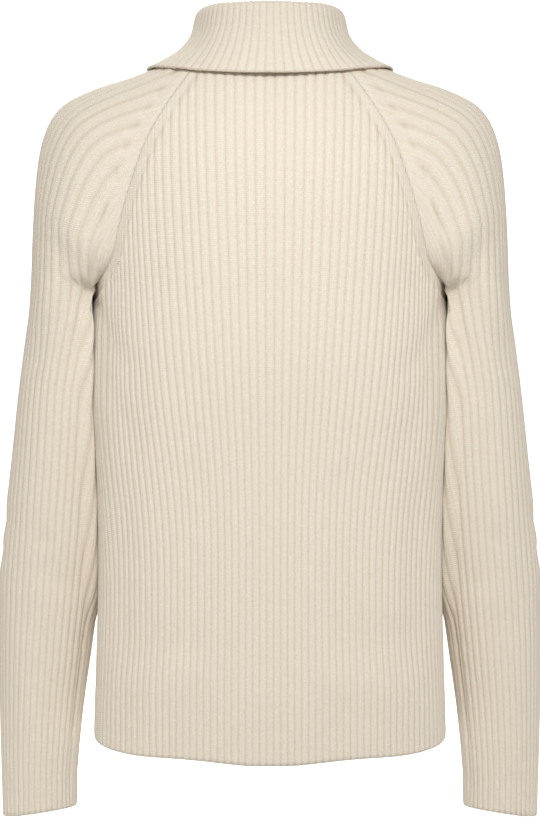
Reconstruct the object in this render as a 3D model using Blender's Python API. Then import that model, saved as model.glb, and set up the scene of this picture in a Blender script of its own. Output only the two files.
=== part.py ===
"""A half-zip sweater in cream rib knit, filled out as worn with nobody in it.

Metres, +Z up. The front faces -Y and the wearer's left is +X. The origin is at the centre of the neck, level with
the tops of the shoulders. Sizes below are in millimetres. Each piece is a cloth wall lofted on the form that the
garment has: the torso's sections, the raglan seams and the sleeves' sections are short tables, and the ribs are
raised in the wall's outer points over a plain inside.
"""

import math
from functools import lru_cache

import bmesh
import bpy
import numpy as np
from mathutils import Matrix, Vector

MM = 0.001

# ---------------------------------------------------------------- cloth
WALL_IN = 1.2  # plain inner face, below the form
WALL_OUT = 0.5  # floor between two ribs, above the form
RIB_HEIGHT = 1.2  # a rib's crest above that floor
SEAM_GAP = 0.5  # clear width of a seam between two pieces' edge points
UNDERARM_ROOM = 2.0  # the seam stands wider apart where the walls turn under the arm
PLAIN_BAND = (9.0, 13.0)  # the plain band along the raglan seams ends between these distances
SLEEVE_BAND = (14.0, 19.0)  # the same on the sleeves, where it is wider

# ---------------------------------------------------------------- ribs, counted from the middle of a piece
BODY_RIBS = 33  # half a front or a back
BODY_NECK_RIBS = 7  # of these, the ones that reach the neck
BODY_RAGLAN_RIBS = 25  # and up to this one they end on the raglan seam, the rest at the underarm
SLEEVE_RIBS = 20
SLEEVE_NECK_RIBS = 5
SLEEVE_RAGLAN_RIBS = 14
COLLAR_RIBS = 34

# ---------------------------------------------------------------- the torso's form
SECTION_POWER = 2.5  # the sections are superellipses of this power
UNDERARM_Z = -207.0
HEM_SIDE_Z = -595.0
HEM_DIP_BACK = 19.0  # the hem is lower in the middle than at the side seams
HEM_DIP_FRONT = 13.0
FAN_START = 0.32  # the ribs start to spread at this share of a piece's height


def table(columns, rows):
    """A table as one array for each named column."""
    return dict(zip(columns.split(), np.array(rows, float).T))


TORSO = table(
    "z half_width back front",
    [
        (-620, 153.5, 84, 89),
        (-570, 152.0, 84, 90),
        (-525, 150.5, 84, 92),
        (-445, 149.0, 86, 97),
        (-390, 150.0, 89, 102),
        (-340, 153.0, 94, 108),
        (-304, 155.0, 99, 112),
        (-260, 155.0, 104, 117),
        (-207, 154.0, 107, 119),
        (-184, 156.0, 108, 118),
        (-151, 158.0, 108, 116),
        (-117, 157.0, 106, 111),
        (-86, 150.0, 100, 102),
        (-57, 138.0, 90, 87),
        (-29, 116.0, 74, 68),
        (-8, 96.0, 57, 51),
        (10, 84.0, 44, 38),
    ],
)

# The yoke: where the raglan seams and the top of the shoulder run, from the underarm (0) to the neck (1).
YOKE = table(
    "rise back_x back_z front_x front_z top_x top_y top_z half_depth spread",
    [
        (0.00, 154.0, -207, 154.0, -207, 208.5, -4, -195, 54.0, 180),
        (0.13, 148.5, -201, 148.5, -201, 207.5, -4, -160, 60.4, 144),
        (0.26, 136.0, -184, 137.0, -184, 205.5, -4, -124, 73.6, 118),
        (0.40, 128.0, -151, 130.0, -152, 200.5, -4, -84, 82.0, 99),
        (0.53, 118.0, -117, 120.0, -120, 186.0, -4, -51, 86.0, 84),
        (0.66, 107.0, -86, 109.0, -92, 155.0, -4, -33, 87.0, 72),
        (0.78, 92.0, -57, 95.0, -67, 123.0, -4, -23, 84.0, 62),
        (0.90, 74.0, -29, 78.0, -46, 92.0, -3, -12, 76.0, 54),
        (1.00, 60.0, -8, 64.0, -30, 68.0, -2, -3, 68.0, 48),
    ],
)
BIND_OFF = 0.13  # rise of the raglan where the underarm's bound-off edge ends

# The sleeve below the underarm, from it (0) down to the cuff (1).
ARM = table(
    "drop inner_x outer_x y inner_z outer_z half_depth",
    [
        (0.00, 154.0, 208.5, -2, -207, -195, 54.0),
        (0.05, 153.5, 210.0, -4, -230, -222, 53.0),
        (0.12, 152.0, 215.0, -8, -262, -256, 51.0),
        (0.22, 150.0, 222.0, -14, -308, -305, 49.0),
        (0.34, 149.0, 228.5, -20, -362, -362, 46.0),
        (0.46, 150.0, 235.0, -26, -418, -418, 42.5),
        (0.56, 153.5, 239.0, -32, -464, -465, 39.5),
        (0.68, 160.5, 240.5, -38, -520, -521, 37.0),
        (0.84, 170.5, 239.5, -43, -594, -597, 34.5),
        (0.94, 174.5, 238.5, -46, -640, -645, 33.5),
        (1.00, 175.0, 238.0, -47, -667, -674, 33.0),
    ],
)
ARM_SHARE = 1.66  # the sleeve below the underarm is so many times as long as the raglan seam
ARM_CLEAR = 5.2  # the sleeve's form keeps so far from the torso's
ARM_CLEAR_FROM = 13.0  # reached so far below the underarm

# ---------------------------------------------------------------- neck, collar and zip
NECK_BACK_Z = -14.0
NECK_FRONT_Z = -62.0
SLIT_BOTTOM_Z = -214.0
SLIT_OPEN_Z = -128.0  # the zip is closed up to here, where the slider stands
SLIT_CLOSED = 3.0  # half the slit's width beside the closed chain
SLIT_TOP = 25.0  # half its width at the neck seam
SLIT_ROOM = 9  # so many ribs beside the slit move over for it

# The collar's rings, from the neck seam (0) up the stand, over the fold and down the fall to its edge (1).
COLLAR = table(
    "way side_x side_y back_y front_x front_y back_z side_z front_z",
    [
        (0.12, 65.5, -4, 51.0, 26.5, -76.0, 4, 13, -46),
        (0.28, 61.5, -4, 48.5, 29.0, -74.0, 20, 26, -30),
        (0.41, 57.0, -4, 49.0, 33.0, -76.0, 34, 36, -15),
        (0.47, 59.0, -4, 53.5, 36.0, -80.0, 38.5, 40, -9),
        (0.53, 64.0, -4, 58.5, 39.0, -84.0, 36, 35.5, -9),
        (0.66, 69.0, -4, 62.5, 44.0, -91.0, 19, 17, -22),
        (0.80, 79.5, -4, 68.0, 50.0, -99.0, 1, 3.5, -41),
        (0.91, 94.5, -4, 75.0, 55.0, -106.5, -14, -6, -57),
        (1.00, 108.5, -4, 80.5, 58.0, -112.0, -25, -13.5, -70),
    ],
)

TAPE_LEAD = 2.8  # the tape shows so far past the cloth's edge
TAPE_SEWN = 8.0  # and is sewn on so far behind it
TAPE_THICK = 0.8
TAPE_CLEAR = 0.5
TAPE_SINK = 0.5  # it lies so much further back behind the slit, where the front curves
STOP_Z = -204.0
PLATE_FRONT = -4.4  # the slider's front plate, out from the form
CROWN_REACH = 4.2
HINGE_OUT = -6.0  # the pull tab's axis, out from the form and up from the slider's middle
HINGE_UP = -0.5
PULL_LENGTH = 26.0

# ---------------------------------------------------------------- rows of the pieces' grids, hem or cuff to the top
BACK_ROWS = (0.0, 0.20, 0.40, 0.56, 0.68, 0.78, 0.87)
FRONT_ROWS = (0.0, 0.22, 0.42, 0.58, 0.7226, 0.737, 0.82, 0.87, 0.91, 0.945)
SLIT_ROW = FRONT_ROWS.index(0.7226)  # the slit's foot
SLEEVE_ROWS = (0.0, 0.15, 0.30, 0.43, 0.53, 0.62, 0.70, 0.78, 0.85, 0.91)
COLLAR_ROWS = (0.0, 0.20, 0.41, 0.47, 0.53, 0.68, 0.84, 1.0)
SLEEVE_LENGTH = 740.0  # along a rib, from the cuff to the neck
BODY_STEP = 3  # the plain inside has one column for so many outer ones
SLEEVE_STEP = 4
COLLAR_STEP = 4


# ---------------------------------------------------------------- curves
def smooth(rows, key, name, at):
    """The named column at this value of the key column, on a curve that doesn't overshoot the table."""
    x, y = rows[key], rows[name]
    i = int(np.clip(np.searchsorted(x, at) - 1, 0, len(x) - 2))
    step = np.diff(x)
    rate = np.diff(y) / step

    def slope(j):
        if j == 0 or j == len(x) - 1:
            return rate[0 if j == 0 else -1]
        if rate[j - 1] * rate[j] <= 0:
            return 0.0
        return 2 * rate[j - 1] * rate[j] / (rate[j - 1] + rate[j])

    t = float(np.clip((at - x[i]) / step[i], 0, 1))
    a, b = slope(i) * step[i], slope(i + 1) * step[i]
    return (
        y[i] * (1 + 2 * t) * (1 - t) ** 2 + a * t * (1 - t) ** 2 + y[i + 1] * t * t * (3 - 2 * t) + b * t * t * (t - 1)
    )


def unit(v):
    return v / max(np.linalg.norm(v), 1e-12)


def along(points, share):
    """The point at this share of a polyline's length."""
    lengths = np.concatenate([[0], np.cumsum(np.linalg.norm(np.diff(points, axis=0), axis=1))])
    at = share * lengths[-1]
    return np.array([np.interp(at, lengths, points[:, k]) for k in range(3)])


def ease(t):
    t = min(max(t, 0.0), 1.0)
    return t * t * (3 - 2 * t)


# ---------------------------------------------------------------- the torso's form
def torso_y(x, z, side):
    """How far the form stands back (side 1) or forward (side -1) at this place."""
    width = smooth(TORSO, "z", "half_width", z)
    depth = smooth(TORSO, "z", "back" if side > 0 else "front", z)
    inside = max(1 - (abs(x) / width) ** SECTION_POWER, 0.0)
    return side * depth * inside ** (1 / SECTION_POWER)


def torso_x(y, z):
    """Half the form's width at this depth."""
    width = smooth(TORSO, "z", "half_width", z)
    depth = smooth(TORSO, "z", "back" if y > 0 else "front", z)
    return width * max(1 - (abs(y) / depth) ** SECTION_POWER, 0.0) ** (1 / SECTION_POWER)


@lru_cache(maxsize=None)
def torso_section(z, side, samples=60):
    """Half a level section, from the middle to the side seam."""
    width = smooth(TORSO, "z", "half_width", z)
    depth = smooth(TORSO, "z", "back" if side > 0 else "front", z)
    turn = np.linspace(0, math.pi / 2, samples)
    power = 2 / SECTION_POWER
    return np.column_stack(
        [width * np.sin(turn) ** power, side * depth * np.cos(turn) ** power, np.full(samples, float(z))]
    )


def section_lengths(points):
    return np.concatenate([[0], np.cumsum(np.linalg.norm(np.diff(points, axis=0), axis=1))])


def on_torso(distance, z, side):
    """The point this far round from the middle, on the section at z."""
    points = torso_section(z, side)
    lengths = section_lengths(points)
    return np.array([np.interp(distance, lengths, points[:, k]) for k in range(3)])


def distance_round(x, z, side):
    points = torso_section(z, side)
    return float(np.interp(x, points[:, 0], section_lengths(points)))


# ---------------------------------------------------------------- seams
def raglan(rise, side):
    """The raglan seam of the wearer's left side, at the back (side 1) or the front (side -1)."""
    name = "back" if side > 0 else "front"
    x = smooth(YOKE, "rise", name + "_x", rise)
    z = smooth(YOKE, "rise", name + "_z", rise)
    if rise <= 0:
        return np.array([x, 0.0, z])
    return np.array([x, torso_y(x, z, side), z])


def slit_half_width(z):
    """Half the width of the zip's slit: shut at its foot, as wide as the chain, then spread open."""
    if z <= SLIT_BOTTOM_Z:
        return 0.0
    spread = max(z - SLIT_OPEN_Z, 0.0) / (NECK_FRONT_Z - SLIT_OPEN_Z)
    return SLIT_CLOSED * min((z - SLIT_BOTTOM_Z) / 6.0, 1.0) + (SLIT_TOP - SLIT_CLOSED) * spread**1.35


def neck_on_panel(share, side):
    """The neck seam on the back or the front: share 0 in the middle (at the slit's edge), 1 at the raglan seam."""
    corner = raglan(1.0, side)
    if side > 0:
        start, z0 = 0.0, NECK_BACK_Z
    else:
        start, z0 = slit_half_width(NECK_FRONT_Z), NECK_FRONT_Z
    x = start + (corner[0] - start) * share
    z = z0 + (corner[2] - z0) * (share**2 if side > 0 else share**1.5)
    return np.array([x, torso_y(x, z, side), z])


# ---------------------------------------------------------------- the body's panels
def rib_top(rib, side):
    """Where this rib of a half panel ends: at the neck, on the raglan seam or at the underarm."""
    if rib <= BODY_NECK_RIBS:
        return neck_on_panel(rib / BODY_NECK_RIBS, side)
    if rib <= BODY_RAGLAN_RIBS:
        share = (rib - BODY_NECK_RIBS) / (BODY_RAGLAN_RIBS - BODY_NECK_RIBS)
        return raglan(1 - (1 - BIND_OFF) * share, side)
    return raglan(BIND_OFF * (BODY_RIBS - rib) / (BODY_RIBS - BODY_RAGLAN_RIBS), side)


def slit_room(rib, z):
    """How far this rib of the front moves over for the slit."""
    return slit_half_width(z) * max(1 - rib / SLIT_ROOM, 0.0) ** 2


def hem_z(rib, side):
    dip = HEM_DIP_BACK if side > 0 else HEM_DIP_FRONT
    return HEM_SIDE_Z - dip * math.cos(rib / BODY_RIBS * math.pi / 2) ** 0.8


@lru_cache(maxsize=None)
def panel(rib, height, side):
    """The form of half a back or front: rib 0 is its middle, height runs from the hem (0) to the rib's end (1)."""
    end, low = rib_top(rib, side), hem_z(rib, side)
    z = low + (end[2] - low) * height
    whole = section_lengths(torso_section(low, side))[-1]
    share = rib / BODY_RIBS
    foot = share * whole
    level = share * section_lengths(torso_section(min(z, UNDERARM_Z), side))[-1]
    top = distance_round(end[0] - (slit_room(rib, end[2]) if side < 0 else 0.0), end[2], side)
    fan = ease((height - FAN_START) / (1 - FAN_START))
    waist = foot + (level - foot) * ease(height / FAN_START)
    point = on_torso(waist + (top - waist) * fan, z, side)
    if side < 0:
        # the slit's edges stand apart, and the cloth beside them makes room
        if height >= 1:
            return end.copy()
        point[0] += slit_room(rib, z)
        if rib < SLIT_ROOM:
            point[1] = torso_y(point[0], z, side)
    return point


# ---------------------------------------------------------------- the sleeves
@lru_cache(maxsize=None)
def sleeve_section(drop, samples=48):
    """Half a sleeve's section as two polylines, from the outer (or top) line round to the seam: back, then front.
    drop is 1 at the cuff, 0 at the underarm and -1 at the neck."""
    if drop <= 0:
        rise = -drop
        back, front = raglan(rise, 1), raglan(rise, -1)
        top = np.array([smooth(YOKE, "rise", k, rise) for k in ("top_x", "top_y", "top_z")])
        spread = math.radians(smooth(YOKE, "rise", "spread", rise))
        depth = smooth(YOKE, "rise", "half_depth", rise)
        across = unit(back - front) if rise > 0.02 else np.array([0.0, 1.0, 0.0])
    else:
        inner = np.array([smooth(ARM, "drop", k, drop) for k in ("inner_x", "y", "inner_z")])
        top = np.array([smooth(ARM, "drop", k, drop) for k in ("outer_x", "y", "outer_z")])
        back = front = inner
        spread, depth, across = math.pi, smooth(ARM, "drop", "half_depth", drop), np.array([0.0, 1.0, 0.0])
    middle = (back + front) / 2
    chord = np.linalg.norm(back - front) / 2
    reach = np.linalg.norm(top - middle)
    out = (top - middle) / reach
    bulge = reach / (1 - math.cos(spread))
    turn = np.linspace(0, spread, samples)[:, None]
    halves = []
    for side in (1, -1):
        sideways = depth * np.sin(turn) + (chord - depth * math.sin(spread)) * turn / spread
        points = middle + out * bulge * (np.cos(turn) - math.cos(spread)) + side * across * sideways
        if drop > 0:
            for p in points:
                below = UNDERARM_Z - p[2]
                clear = ARM_CLEAR * min(max(below / ARM_CLEAR_FROM, 0.0), 1.0)
                grown = 1 + clear / 110.0
                p[0] = max(p[0], torso_x(p[1] / grown, p[2]) + clear)
        halves.append(points)
    return halves


@lru_cache(maxsize=None)
def sleeve(rib, height):
    """The form of the left sleeve. rib 0 is its outer line, positive ribs lie behind it and negative before it;
    height runs from the cuff (0) to the rib's end (1)."""
    size = abs(rib)
    if size <= SLEEVE_NECK_RIBS:
        end = 1.0
    elif size <= SLEEVE_RAGLAN_RIBS:
        end = 1 - (1 - BIND_OFF) * (size - SLEEVE_NECK_RIBS) / (SLEEVE_RAGLAN_RIBS - SLEEVE_NECK_RIBS)
    else:
        end = BIND_OFF * (SLEEVE_RIBS - size) / (SLEEVE_RIBS - SLEEVE_RAGLAN_RIBS)
    place = -ARM_SHARE + height * (ARM_SHARE + end)
    drop = -place if place >= 0 else -place / ARM_SHARE
    share = size / SLEEVE_RIBS
    if place > 0:
        last = 1.0 if size > SLEEVE_NECK_RIBS else size / SLEEVE_NECK_RIBS
        share += (last - share) * (place / end) ** 1.5
    points = sleeve_section(drop)[0 if rib >= 0 else 1]
    return along(points, share)


def neck_on_sleeve(share):
    """The neck seam over the left sleeve's end, from the back raglan seam (0) to the front one (1)."""
    back, front = sleeve_section(-1.0)
    return along(np.vstack([back[::-1], front[1:]]), share)


# ---------------------------------------------------------------- the collar
def neck_seam():
    """Half the neck seam as a polyline, from the centre back to the zip on the wearer's left."""
    steps = np.linspace(0, 1, 16)
    points = [neck_on_panel(s, 1) for s in steps]
    points += [neck_on_sleeve(s) for s in steps[1:]]
    points += [neck_on_panel(1 - s, -1) for s in steps[1:]]
    return np.array(points)


NECK_SEAM = neck_seam()


@lru_cache(maxsize=None)
def collar_ring(way, samples=64):
    """Half a ring of the collar, from the centre back to its front edge."""
    side_x, side_y, back_y, front_x, front_y, back_z, side_z, front_z = [
        smooth(COLLAR, "way", k, way)
        for k in ("side_x", "side_y", "back_y", "front_x", "front_y", "back_z", "side_z", "front_z")
    ]
    last = math.asin(min(front_x / side_x, 1.0))
    points = []
    for turn in np.linspace(0, math.pi - last, samples):
        x = side_x * math.sin(turn) ** 0.92
        if turn <= math.pi / 2:
            y = side_y + (back_y - side_y) * math.cos(turn)
            z = side_z + (back_z - side_z) * math.cos(turn) ** 2
        else:
            share = -math.cos(turn) / math.cos(last)
            y = side_y + (front_y - side_y) * share
            z = side_z + (front_z - side_z) * share**1.5
        points.append((x, y, z))
    return np.array(points)


FIRST_RING = COLLAR["way"][0]
FALL_FROM = 0.6  # from here on the fall lies on the shoulders
FALL_CLEAR = 4.2  # its form keeps so far from theirs
NECK_AXIS_Y = -8.0


def neck_out(point):
    """Outwards at the neck seam, halfway between the panel's face and the collar's."""
    flat = unit(np.array([point[0], point[1] - NECK_AXIS_Y, 0.0]))
    lift = math.radians(18 + 26 * flat[0] ** 2)
    return flat * math.cos(lift) + np.array([0, 0, math.sin(lift)])


@lru_cache(maxsize=None)
def shoulders():
    """Points on the garment's forms round the neck, and the way out at each, for what lies on them."""
    points, outs = [], []
    for height in np.linspace(0.72, 0.998, 16):
        for side in (1, -1):
            form = lambda rib, at: panel(rib, at, side)
            for rib in np.linspace(0, 24, 33):
                points.append(panel(rib, height, side))
                outs.append(normal(form, rib, height, (0, BODY_RIBS)) * -side)
        for rib in np.linspace(-13, 13, 41):
            points.append(sleeve(rib, height))
            outs.append(normal(sleeve, rib, height, (-SLEEVE_RIBS, SLEEVE_RIBS)))
    return np.array(points), np.array(outs)


def lifted(point, clear):
    """The point, moved out where it is nearer to the shoulders than this."""
    points, outs = shoulders()
    away = np.linalg.norm(points - point, axis=1)
    near = np.argsort(away)[:6]
    weight = 1 / (away[near] + 1.0) ** 2
    weight /= weight.sum()
    out = unit((outs[near] * weight[:, None]).sum(0))
    height = float((((point - points[near]) * outs[near]).sum(1) * weight).sum())
    return point + out * max(clear - height, 0.0)


@lru_cache(maxsize=None)
def collar(rib, way):
    """The collar's form on the wearer's left: rib 0 is the centre back, way runs from the neck seam to the edge."""
    share = rib / COLLAR_RIBS
    if way > FALL_FROM:
        return lifted(along(collar_ring(way), share), FALL_CLEAR)
    if way >= FIRST_RING:
        return along(collar_ring(way), share)
    seam = along(NECK_SEAM, share)
    return seam + (along(collar_ring(FIRST_RING), share) - seam) * way / FIRST_RING


# ---------------------------------------------------------------- walls
def normal(form, rib, height, ribs, step=0.02):
    """Outwards on a form whose ribs and heights run so that the two tangents turn that way."""
    a, b = max(rib - 0.25, ribs[0]), min(rib + 0.25, ribs[1])
    low, high = max(height - step, 0.0), min(height + step, 0.999)
    return unit(np.cross(form(b, height) - form(a, height), form(rib, high) - form(rib, low)))


NEAR_END = 0.985  # a height just below a rib's end


def into_piece(form, rib):
    """From a rib's end down into its piece."""
    return unit(form(rib, NEAR_END) - form(rib, 1.0))


def body_rib_at(rise):
    if rise >= BIND_OFF:
        return BODY_RAGLAN_RIBS - (BODY_RAGLAN_RIBS - BODY_NECK_RIBS) * (rise - BIND_OFF) / (1 - BIND_OFF)
    return BODY_RIBS - (BODY_RIBS - BODY_RAGLAN_RIBS) * rise / BIND_OFF


def sleeve_rib_at(rise):
    if rise >= BIND_OFF:
        return SLEEVE_RAGLAN_RIBS - (SLEEVE_RAGLAN_RIBS - SLEEVE_NECK_RIBS) * (rise - BIND_OFF) / (1 - BIND_OFF)
    return SLEEVE_RIBS - (SLEEVE_RIBS - SLEEVE_RAGLAN_RIBS) * rise / BIND_OFF


def seam_out(rise, side):
    """Outwards on the raglan seam, halfway between the two pieces that meet there."""
    rise = min(max(rise, 0.004), 0.985)
    body = lambda rib, height: panel(rib, height, side)
    arm = lambda rib, height: sleeve(side * rib, height)
    rib, other = body_rib_at(rise), sleeve_rib_at(rise)
    faces = normal(body, rib, NEAR_END, (0, BODY_RIBS)) * -side + normal(arm, other, NEAR_END, (0, SLEEVE_RIBS)) * side
    folded = into_piece(body, rib) + into_piece(arm, other)
    hollow = 1.0 if rise < 0.5 else 0.0
    down = ease(1 - rise / BIND_OFF)
    mixed = unit(faces + folded * hollow * 0.8)
    return unit(mixed * (1 - down) + np.array([0.0, 0.0, -1.0]) * down)


def seam_shift(rise, side):
    """Across the raglan seam towards the sleeve, by half the seam's gap."""
    low, high = max(rise - 0.02, 0.0), min(rise + 0.02, 1.0)
    run = unit(raglan(high, side) - raglan(low, side))
    room = 1 + UNDERARM_ROOM * max(1 - rise / BIND_OFF, 0.0)
    return unit(np.cross(seam_out(rise, side), run)) * side * room * SEAM_GAP / 2


def rib_crest(column, last):
    """A rib's height: its crest on every second column, nothing at a seam's edge."""
    return RIB_HEIGHT if column % 2 == 0 and column != last else 0.0


def body_half(side):
    """The two grids of half a back or front, for x above 0."""
    form = lambda rib, height: panel(rib, height, side)
    columns = 2 * BODY_RIBS
    outer, inner = [], []
    rows = BACK_ROWS if side > 0 else FRONT_ROWS
    bands = [None] * len(rows) + [PLAIN_BAND[1], PLAIN_BAND[0], 0.0]
    for i, band in enumerate(bands):
        outer_row, inner_row = [], []
        for j in range(columns + 1):
            rib = j / 2
            end = rib_top(rib, side)
            length = end[2] - hem_z(rib, side)
            height = rows[i] if band is None else 1 - band / length
            point = form(rib, height)
            crest = rib_crest(j, columns)
            if band is not None and band < PLAIN_BAND[1] and rib > BODY_NECK_RIBS:
                crest = 0.0
            if band == 0.0:
                rise = 1 - (1 - BIND_OFF) * (rib - BODY_NECK_RIBS) / (BODY_RAGLAN_RIBS - BODY_NECK_RIBS)
                if rib > BODY_RAGLAN_RIBS:
                    rise = BIND_OFF * (BODY_RIBS - rib) / (BODY_RIBS - BODY_RAGLAN_RIBS)
                out = neck_out(end) if rib <= BODY_NECK_RIBS else seam_out(rise, side)
                if rib < BODY_NECK_RIBS:
                    point = point + into_piece(form, rib) * SEAM_GAP / 2
                else:
                    point = point - seam_shift(rise, side)
            else:
                out = normal(form, rib, height, (0, BODY_RIBS)) * -side
            if j == columns:
                out = unit(out * (1, 0, 1))
                point = point + np.array([0, side * SEAM_GAP / 2, 0])
            merged = j == 0 and (side > 0 or i <= SLIT_ROW)
            keep = (0.0, 1.0, 1.0) if merged else (1.0, 1.0, 1.0)
            outer_row.append((point + out * (WALL_OUT + crest)) * keep)
            if j % BODY_STEP == 0:
                inner_row.append((point - out * WALL_IN) * keep)
        outer.append(outer_row)
        inner.append(inner_row)
    return outer, inner


def sleeve_grids():
    columns = 4 * SLEEVE_RIBS
    outer, inner = [], []
    bands = [None] * len(SLEEVE_ROWS) + [SLEEVE_BAND[1], SLEEVE_BAND[0], 0.0]
    for i, band in enumerate(bands):
        outer_row, inner_row = [], []
        for j in range(columns):
            rib = j / 2 - SLEEVE_RIBS
            size = abs(rib)
            side = 1 if rib >= 0 else -1
            height = SLEEVE_ROWS[i] if band is None else 1 - band / SLEEVE_LENGTH
            point = sleeve(rib, height)
            crest = 0.0 if j == 0 else rib_crest(j, columns)
            if band is not None and band < SLEEVE_BAND[1] and size > SLEEVE_NECK_RIBS:
                crest = 0.0
            if band == 0.0:
                rise = 1.0
                if size <= SLEEVE_NECK_RIBS:
                    out = neck_out(point)
                else:
                    rise = 1 - (1 - BIND_OFF) * (size - SLEEVE_NECK_RIBS) / (SLEEVE_RAGLAN_RIBS - SLEEVE_NECK_RIBS)
                    if size > SLEEVE_RAGLAN_RIBS:
                        rise = BIND_OFF * (SLEEVE_RIBS - size) / (SLEEVE_RIBS - SLEEVE_RAGLAN_RIBS)
                    out = seam_out(rise, side)
                if size < SLEEVE_NECK_RIBS:
                    point = point + into_piece(sleeve, rib) * SEAM_GAP / 2
                else:
                    point = point + seam_shift(rise, side)
            else:
                out = normal(sleeve, rib, height, (-SLEEVE_RIBS, SLEEVE_RIBS))
            outer_row.append(point + out * (WALL_OUT + crest))
            if j % SLEEVE_STEP == 0:
                inner_row.append(point - out * WALL_IN)
        outer.append(outer_row)
        inner.append(inner_row)
    return outer, inner


def collar_half():
    """The collar's ribbed face is the one that shows: towards the neck on the stand, outwards on the fall."""
    columns = 2 * COLLAR_RIBS
    ribbed, plain = [], []
    for way in COLLAR_ROWS:
        ribbed_row, plain_row = [], []
        for j in range(columns + 1):
            rib = j / 2
            point = collar(rib, way)
            crest = rib_crest(j, columns)
            if way == 0.0:
                out, crest = -neck_out(point), 0.0
                point = point + unit(collar(rib, 0.1) - point) * SEAM_GAP / 2
            else:
                out = normal(collar, rib, way, (0, COLLAR_RIBS))
            keep = (0.0, 1.0, 1.0) if j == 0 else (1.0, 1.0, 1.0)
            ribbed_row.append((point + out * (WALL_OUT + crest)) * keep)
            if j % COLLAR_STEP == 0:
                plain_row.append((point - out * WALL_IN) * keep)
        ribbed.append(ribbed_row)
        plain.append(plain_row)
    return ribbed, plain


def bridge(faces, outer, inner, step):
    """Closes a rim between an outer row of points and a coarser inner row."""
    for j in range(len(inner) - 1):
        part = outer[j * step : (j + 1) * step + 1]
        half = len(part) // 2
        for k in range(len(part) - 1):
            faces.append((part[k + 1], part[k], inner[j] if k < half else inner[j + 1]))
        faces.append((part[half], inner[j], inner[j + 1]))


def wall(name, outer, inner, step, tube=False, mirrored_rows=0):
    """A cloth wall from two grids of points (rows of columns). A tube closes each row on itself. Otherwise the
    piece is half of a mirrored one, whose first column is shared by the halves up to the given row."""
    rows, columns, coarse = len(outer), len(outer[0]), len(inner[0])
    points = [p for row in outer for p in row] + [p for row in inner for p in row]
    base = rows * columns
    out = [[i * columns + j for j in range(columns)] for i in range(rows)]
    into = [[base + i * coarse + j for j in range(coarse)] for i in range(rows)]
    if tube:
        out = [row + row[:1] for row in out]
        into = [row + row[:1] for row in into]
    faces = []
    for i in range(rows - 1):
        for j in range(len(out[i]) - 1):
            faces.append((out[i][j], out[i][j + 1], out[i + 1][j + 1], out[i + 1][j]))
        for j in range(len(into[i]) - 1):
            faces.append((into[i + 1][j], into[i + 1][j + 1], into[i][j + 1], into[i][j]))
        if not tube:
            faces.append((out[i][-1], into[i][-1], into[i + 1][-1], out[i + 1][-1]))
            if i >= mirrored_rows:
                faces.append((out[i + 1][0], into[i + 1][0], into[i][0], out[i][0]))
    bridge(faces, out[0], into[0], step)
    top = []
    bridge(top, out[-1], into[-1], step)
    faces += [face[::-1] for face in top]
    mesh = bpy.data.meshes.new(name)
    mesh.from_pydata([tuple(float(c) * MM for c in p) for p in points], [], faces)
    bm = bmesh.new()
    bm.from_mesh(mesh)
    if not tube:
        copy = bmesh.ops.duplicate(bm, geom=bm.verts[:] + bm.edges[:] + bm.faces[:])["geom"]
        turned = [g for g in copy if isinstance(g, bmesh.types.BMVert)]
        bmesh.ops.scale(bm, vec=(-1, 1, 1), verts=turned)
        bmesh.ops.reverse_faces(bm, faces=[g for g in copy if isinstance(g, bmesh.types.BMFace)])
        middle = [v for v in bm.verts if abs(v.co.x) < 1e-7]
        bmesh.ops.remove_doubles(bm, verts=middle, dist=1e-6)
    bmesh.ops.triangulate(bm, faces=bm.faces[:])
    bmesh.ops.recalc_face_normals(bm, faces=bm.faces[:])
    bm.to_mesh(mesh)
    bm.free()
    return mesh


# ---------------------------------------------------------------- zip
def tape_line(lead, back):
    """The rows of a zip tape: behind the slit's edge, up the inside of the stand and over the fold. Each row is a
    point at the tape's free edge, one at its sewn edge, and the direction out of the cloth's hidden face."""
    rows = []
    for z in np.linspace(SLIT_BOTTOM_Z - 4, NECK_FRONT_Z - 3, 12):
        edge = max(slit_half_width(z), SLIT_CLOSED)
        points = [np.array([x, torso_y(x, z, -1), z]) for x in (max(edge - lead, 0.0), edge + back)]
        rows.append((*points, np.array([0.0, 1.0, 0.0]), WALL_IN + TAPE_SINK))
    for way in (0.2, 0.3, 0.41, 0.47, 0.53, 0.62, 0.74, 0.87, 0.98):
        edge = collar(COLLAR_RIBS, way)
        inside = collar(COLLAR_RIBS - 1.0, way)
        across = unit(inside - edge)
        out = normal(collar, COLLAR_RIBS - 0.5, way, (0, COLLAR_RIBS))
        rows.append((edge - across * lead, edge + across * back, out, WALL_OUT + RIB_HEIGHT))
    return rows


def tape_mesh(name, hand):
    """One zip tape as a closed strip; hand is 1 for the wearer's left."""
    points, faces = [], []
    rows = tape_line(TAPE_LEAD, TAPE_SEWN)
    for free, sewn, out, lift in rows:
        for p in (free, sewn):
            for rise in (lift + TAPE_CLEAR, lift + TAPE_CLEAR + TAPE_THICK):
                q = p + out * rise
                points.append((hand * max(q[0], TAPE_CLEAR / 2) * MM, q[1] * MM, q[2] * MM))
    for i in range(len(rows) - 1):
        a, b = 4 * i, 4 * i + 4
        for j, k in ((0, 1), (1, 3), (3, 2), (2, 0)):
            faces.append((a + j, a + k, b + k, b + j))
    last = 4 * (len(rows) - 1)
    faces += [(0, 2, 3, 1), (last, last + 1, last + 3, last + 2)]
    mesh = bpy.data.meshes.new(name)
    mesh.from_pydata(points, [], faces)
    bm = bmesh.new()
    bm.from_mesh(mesh)
    bmesh.ops.triangulate(bm, faces=bm.faces[:])
    bmesh.ops.recalc_face_normals(bm, faces=bm.faces[:])
    bm.to_mesh(mesh)
    bm.free()
    return mesh


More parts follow.
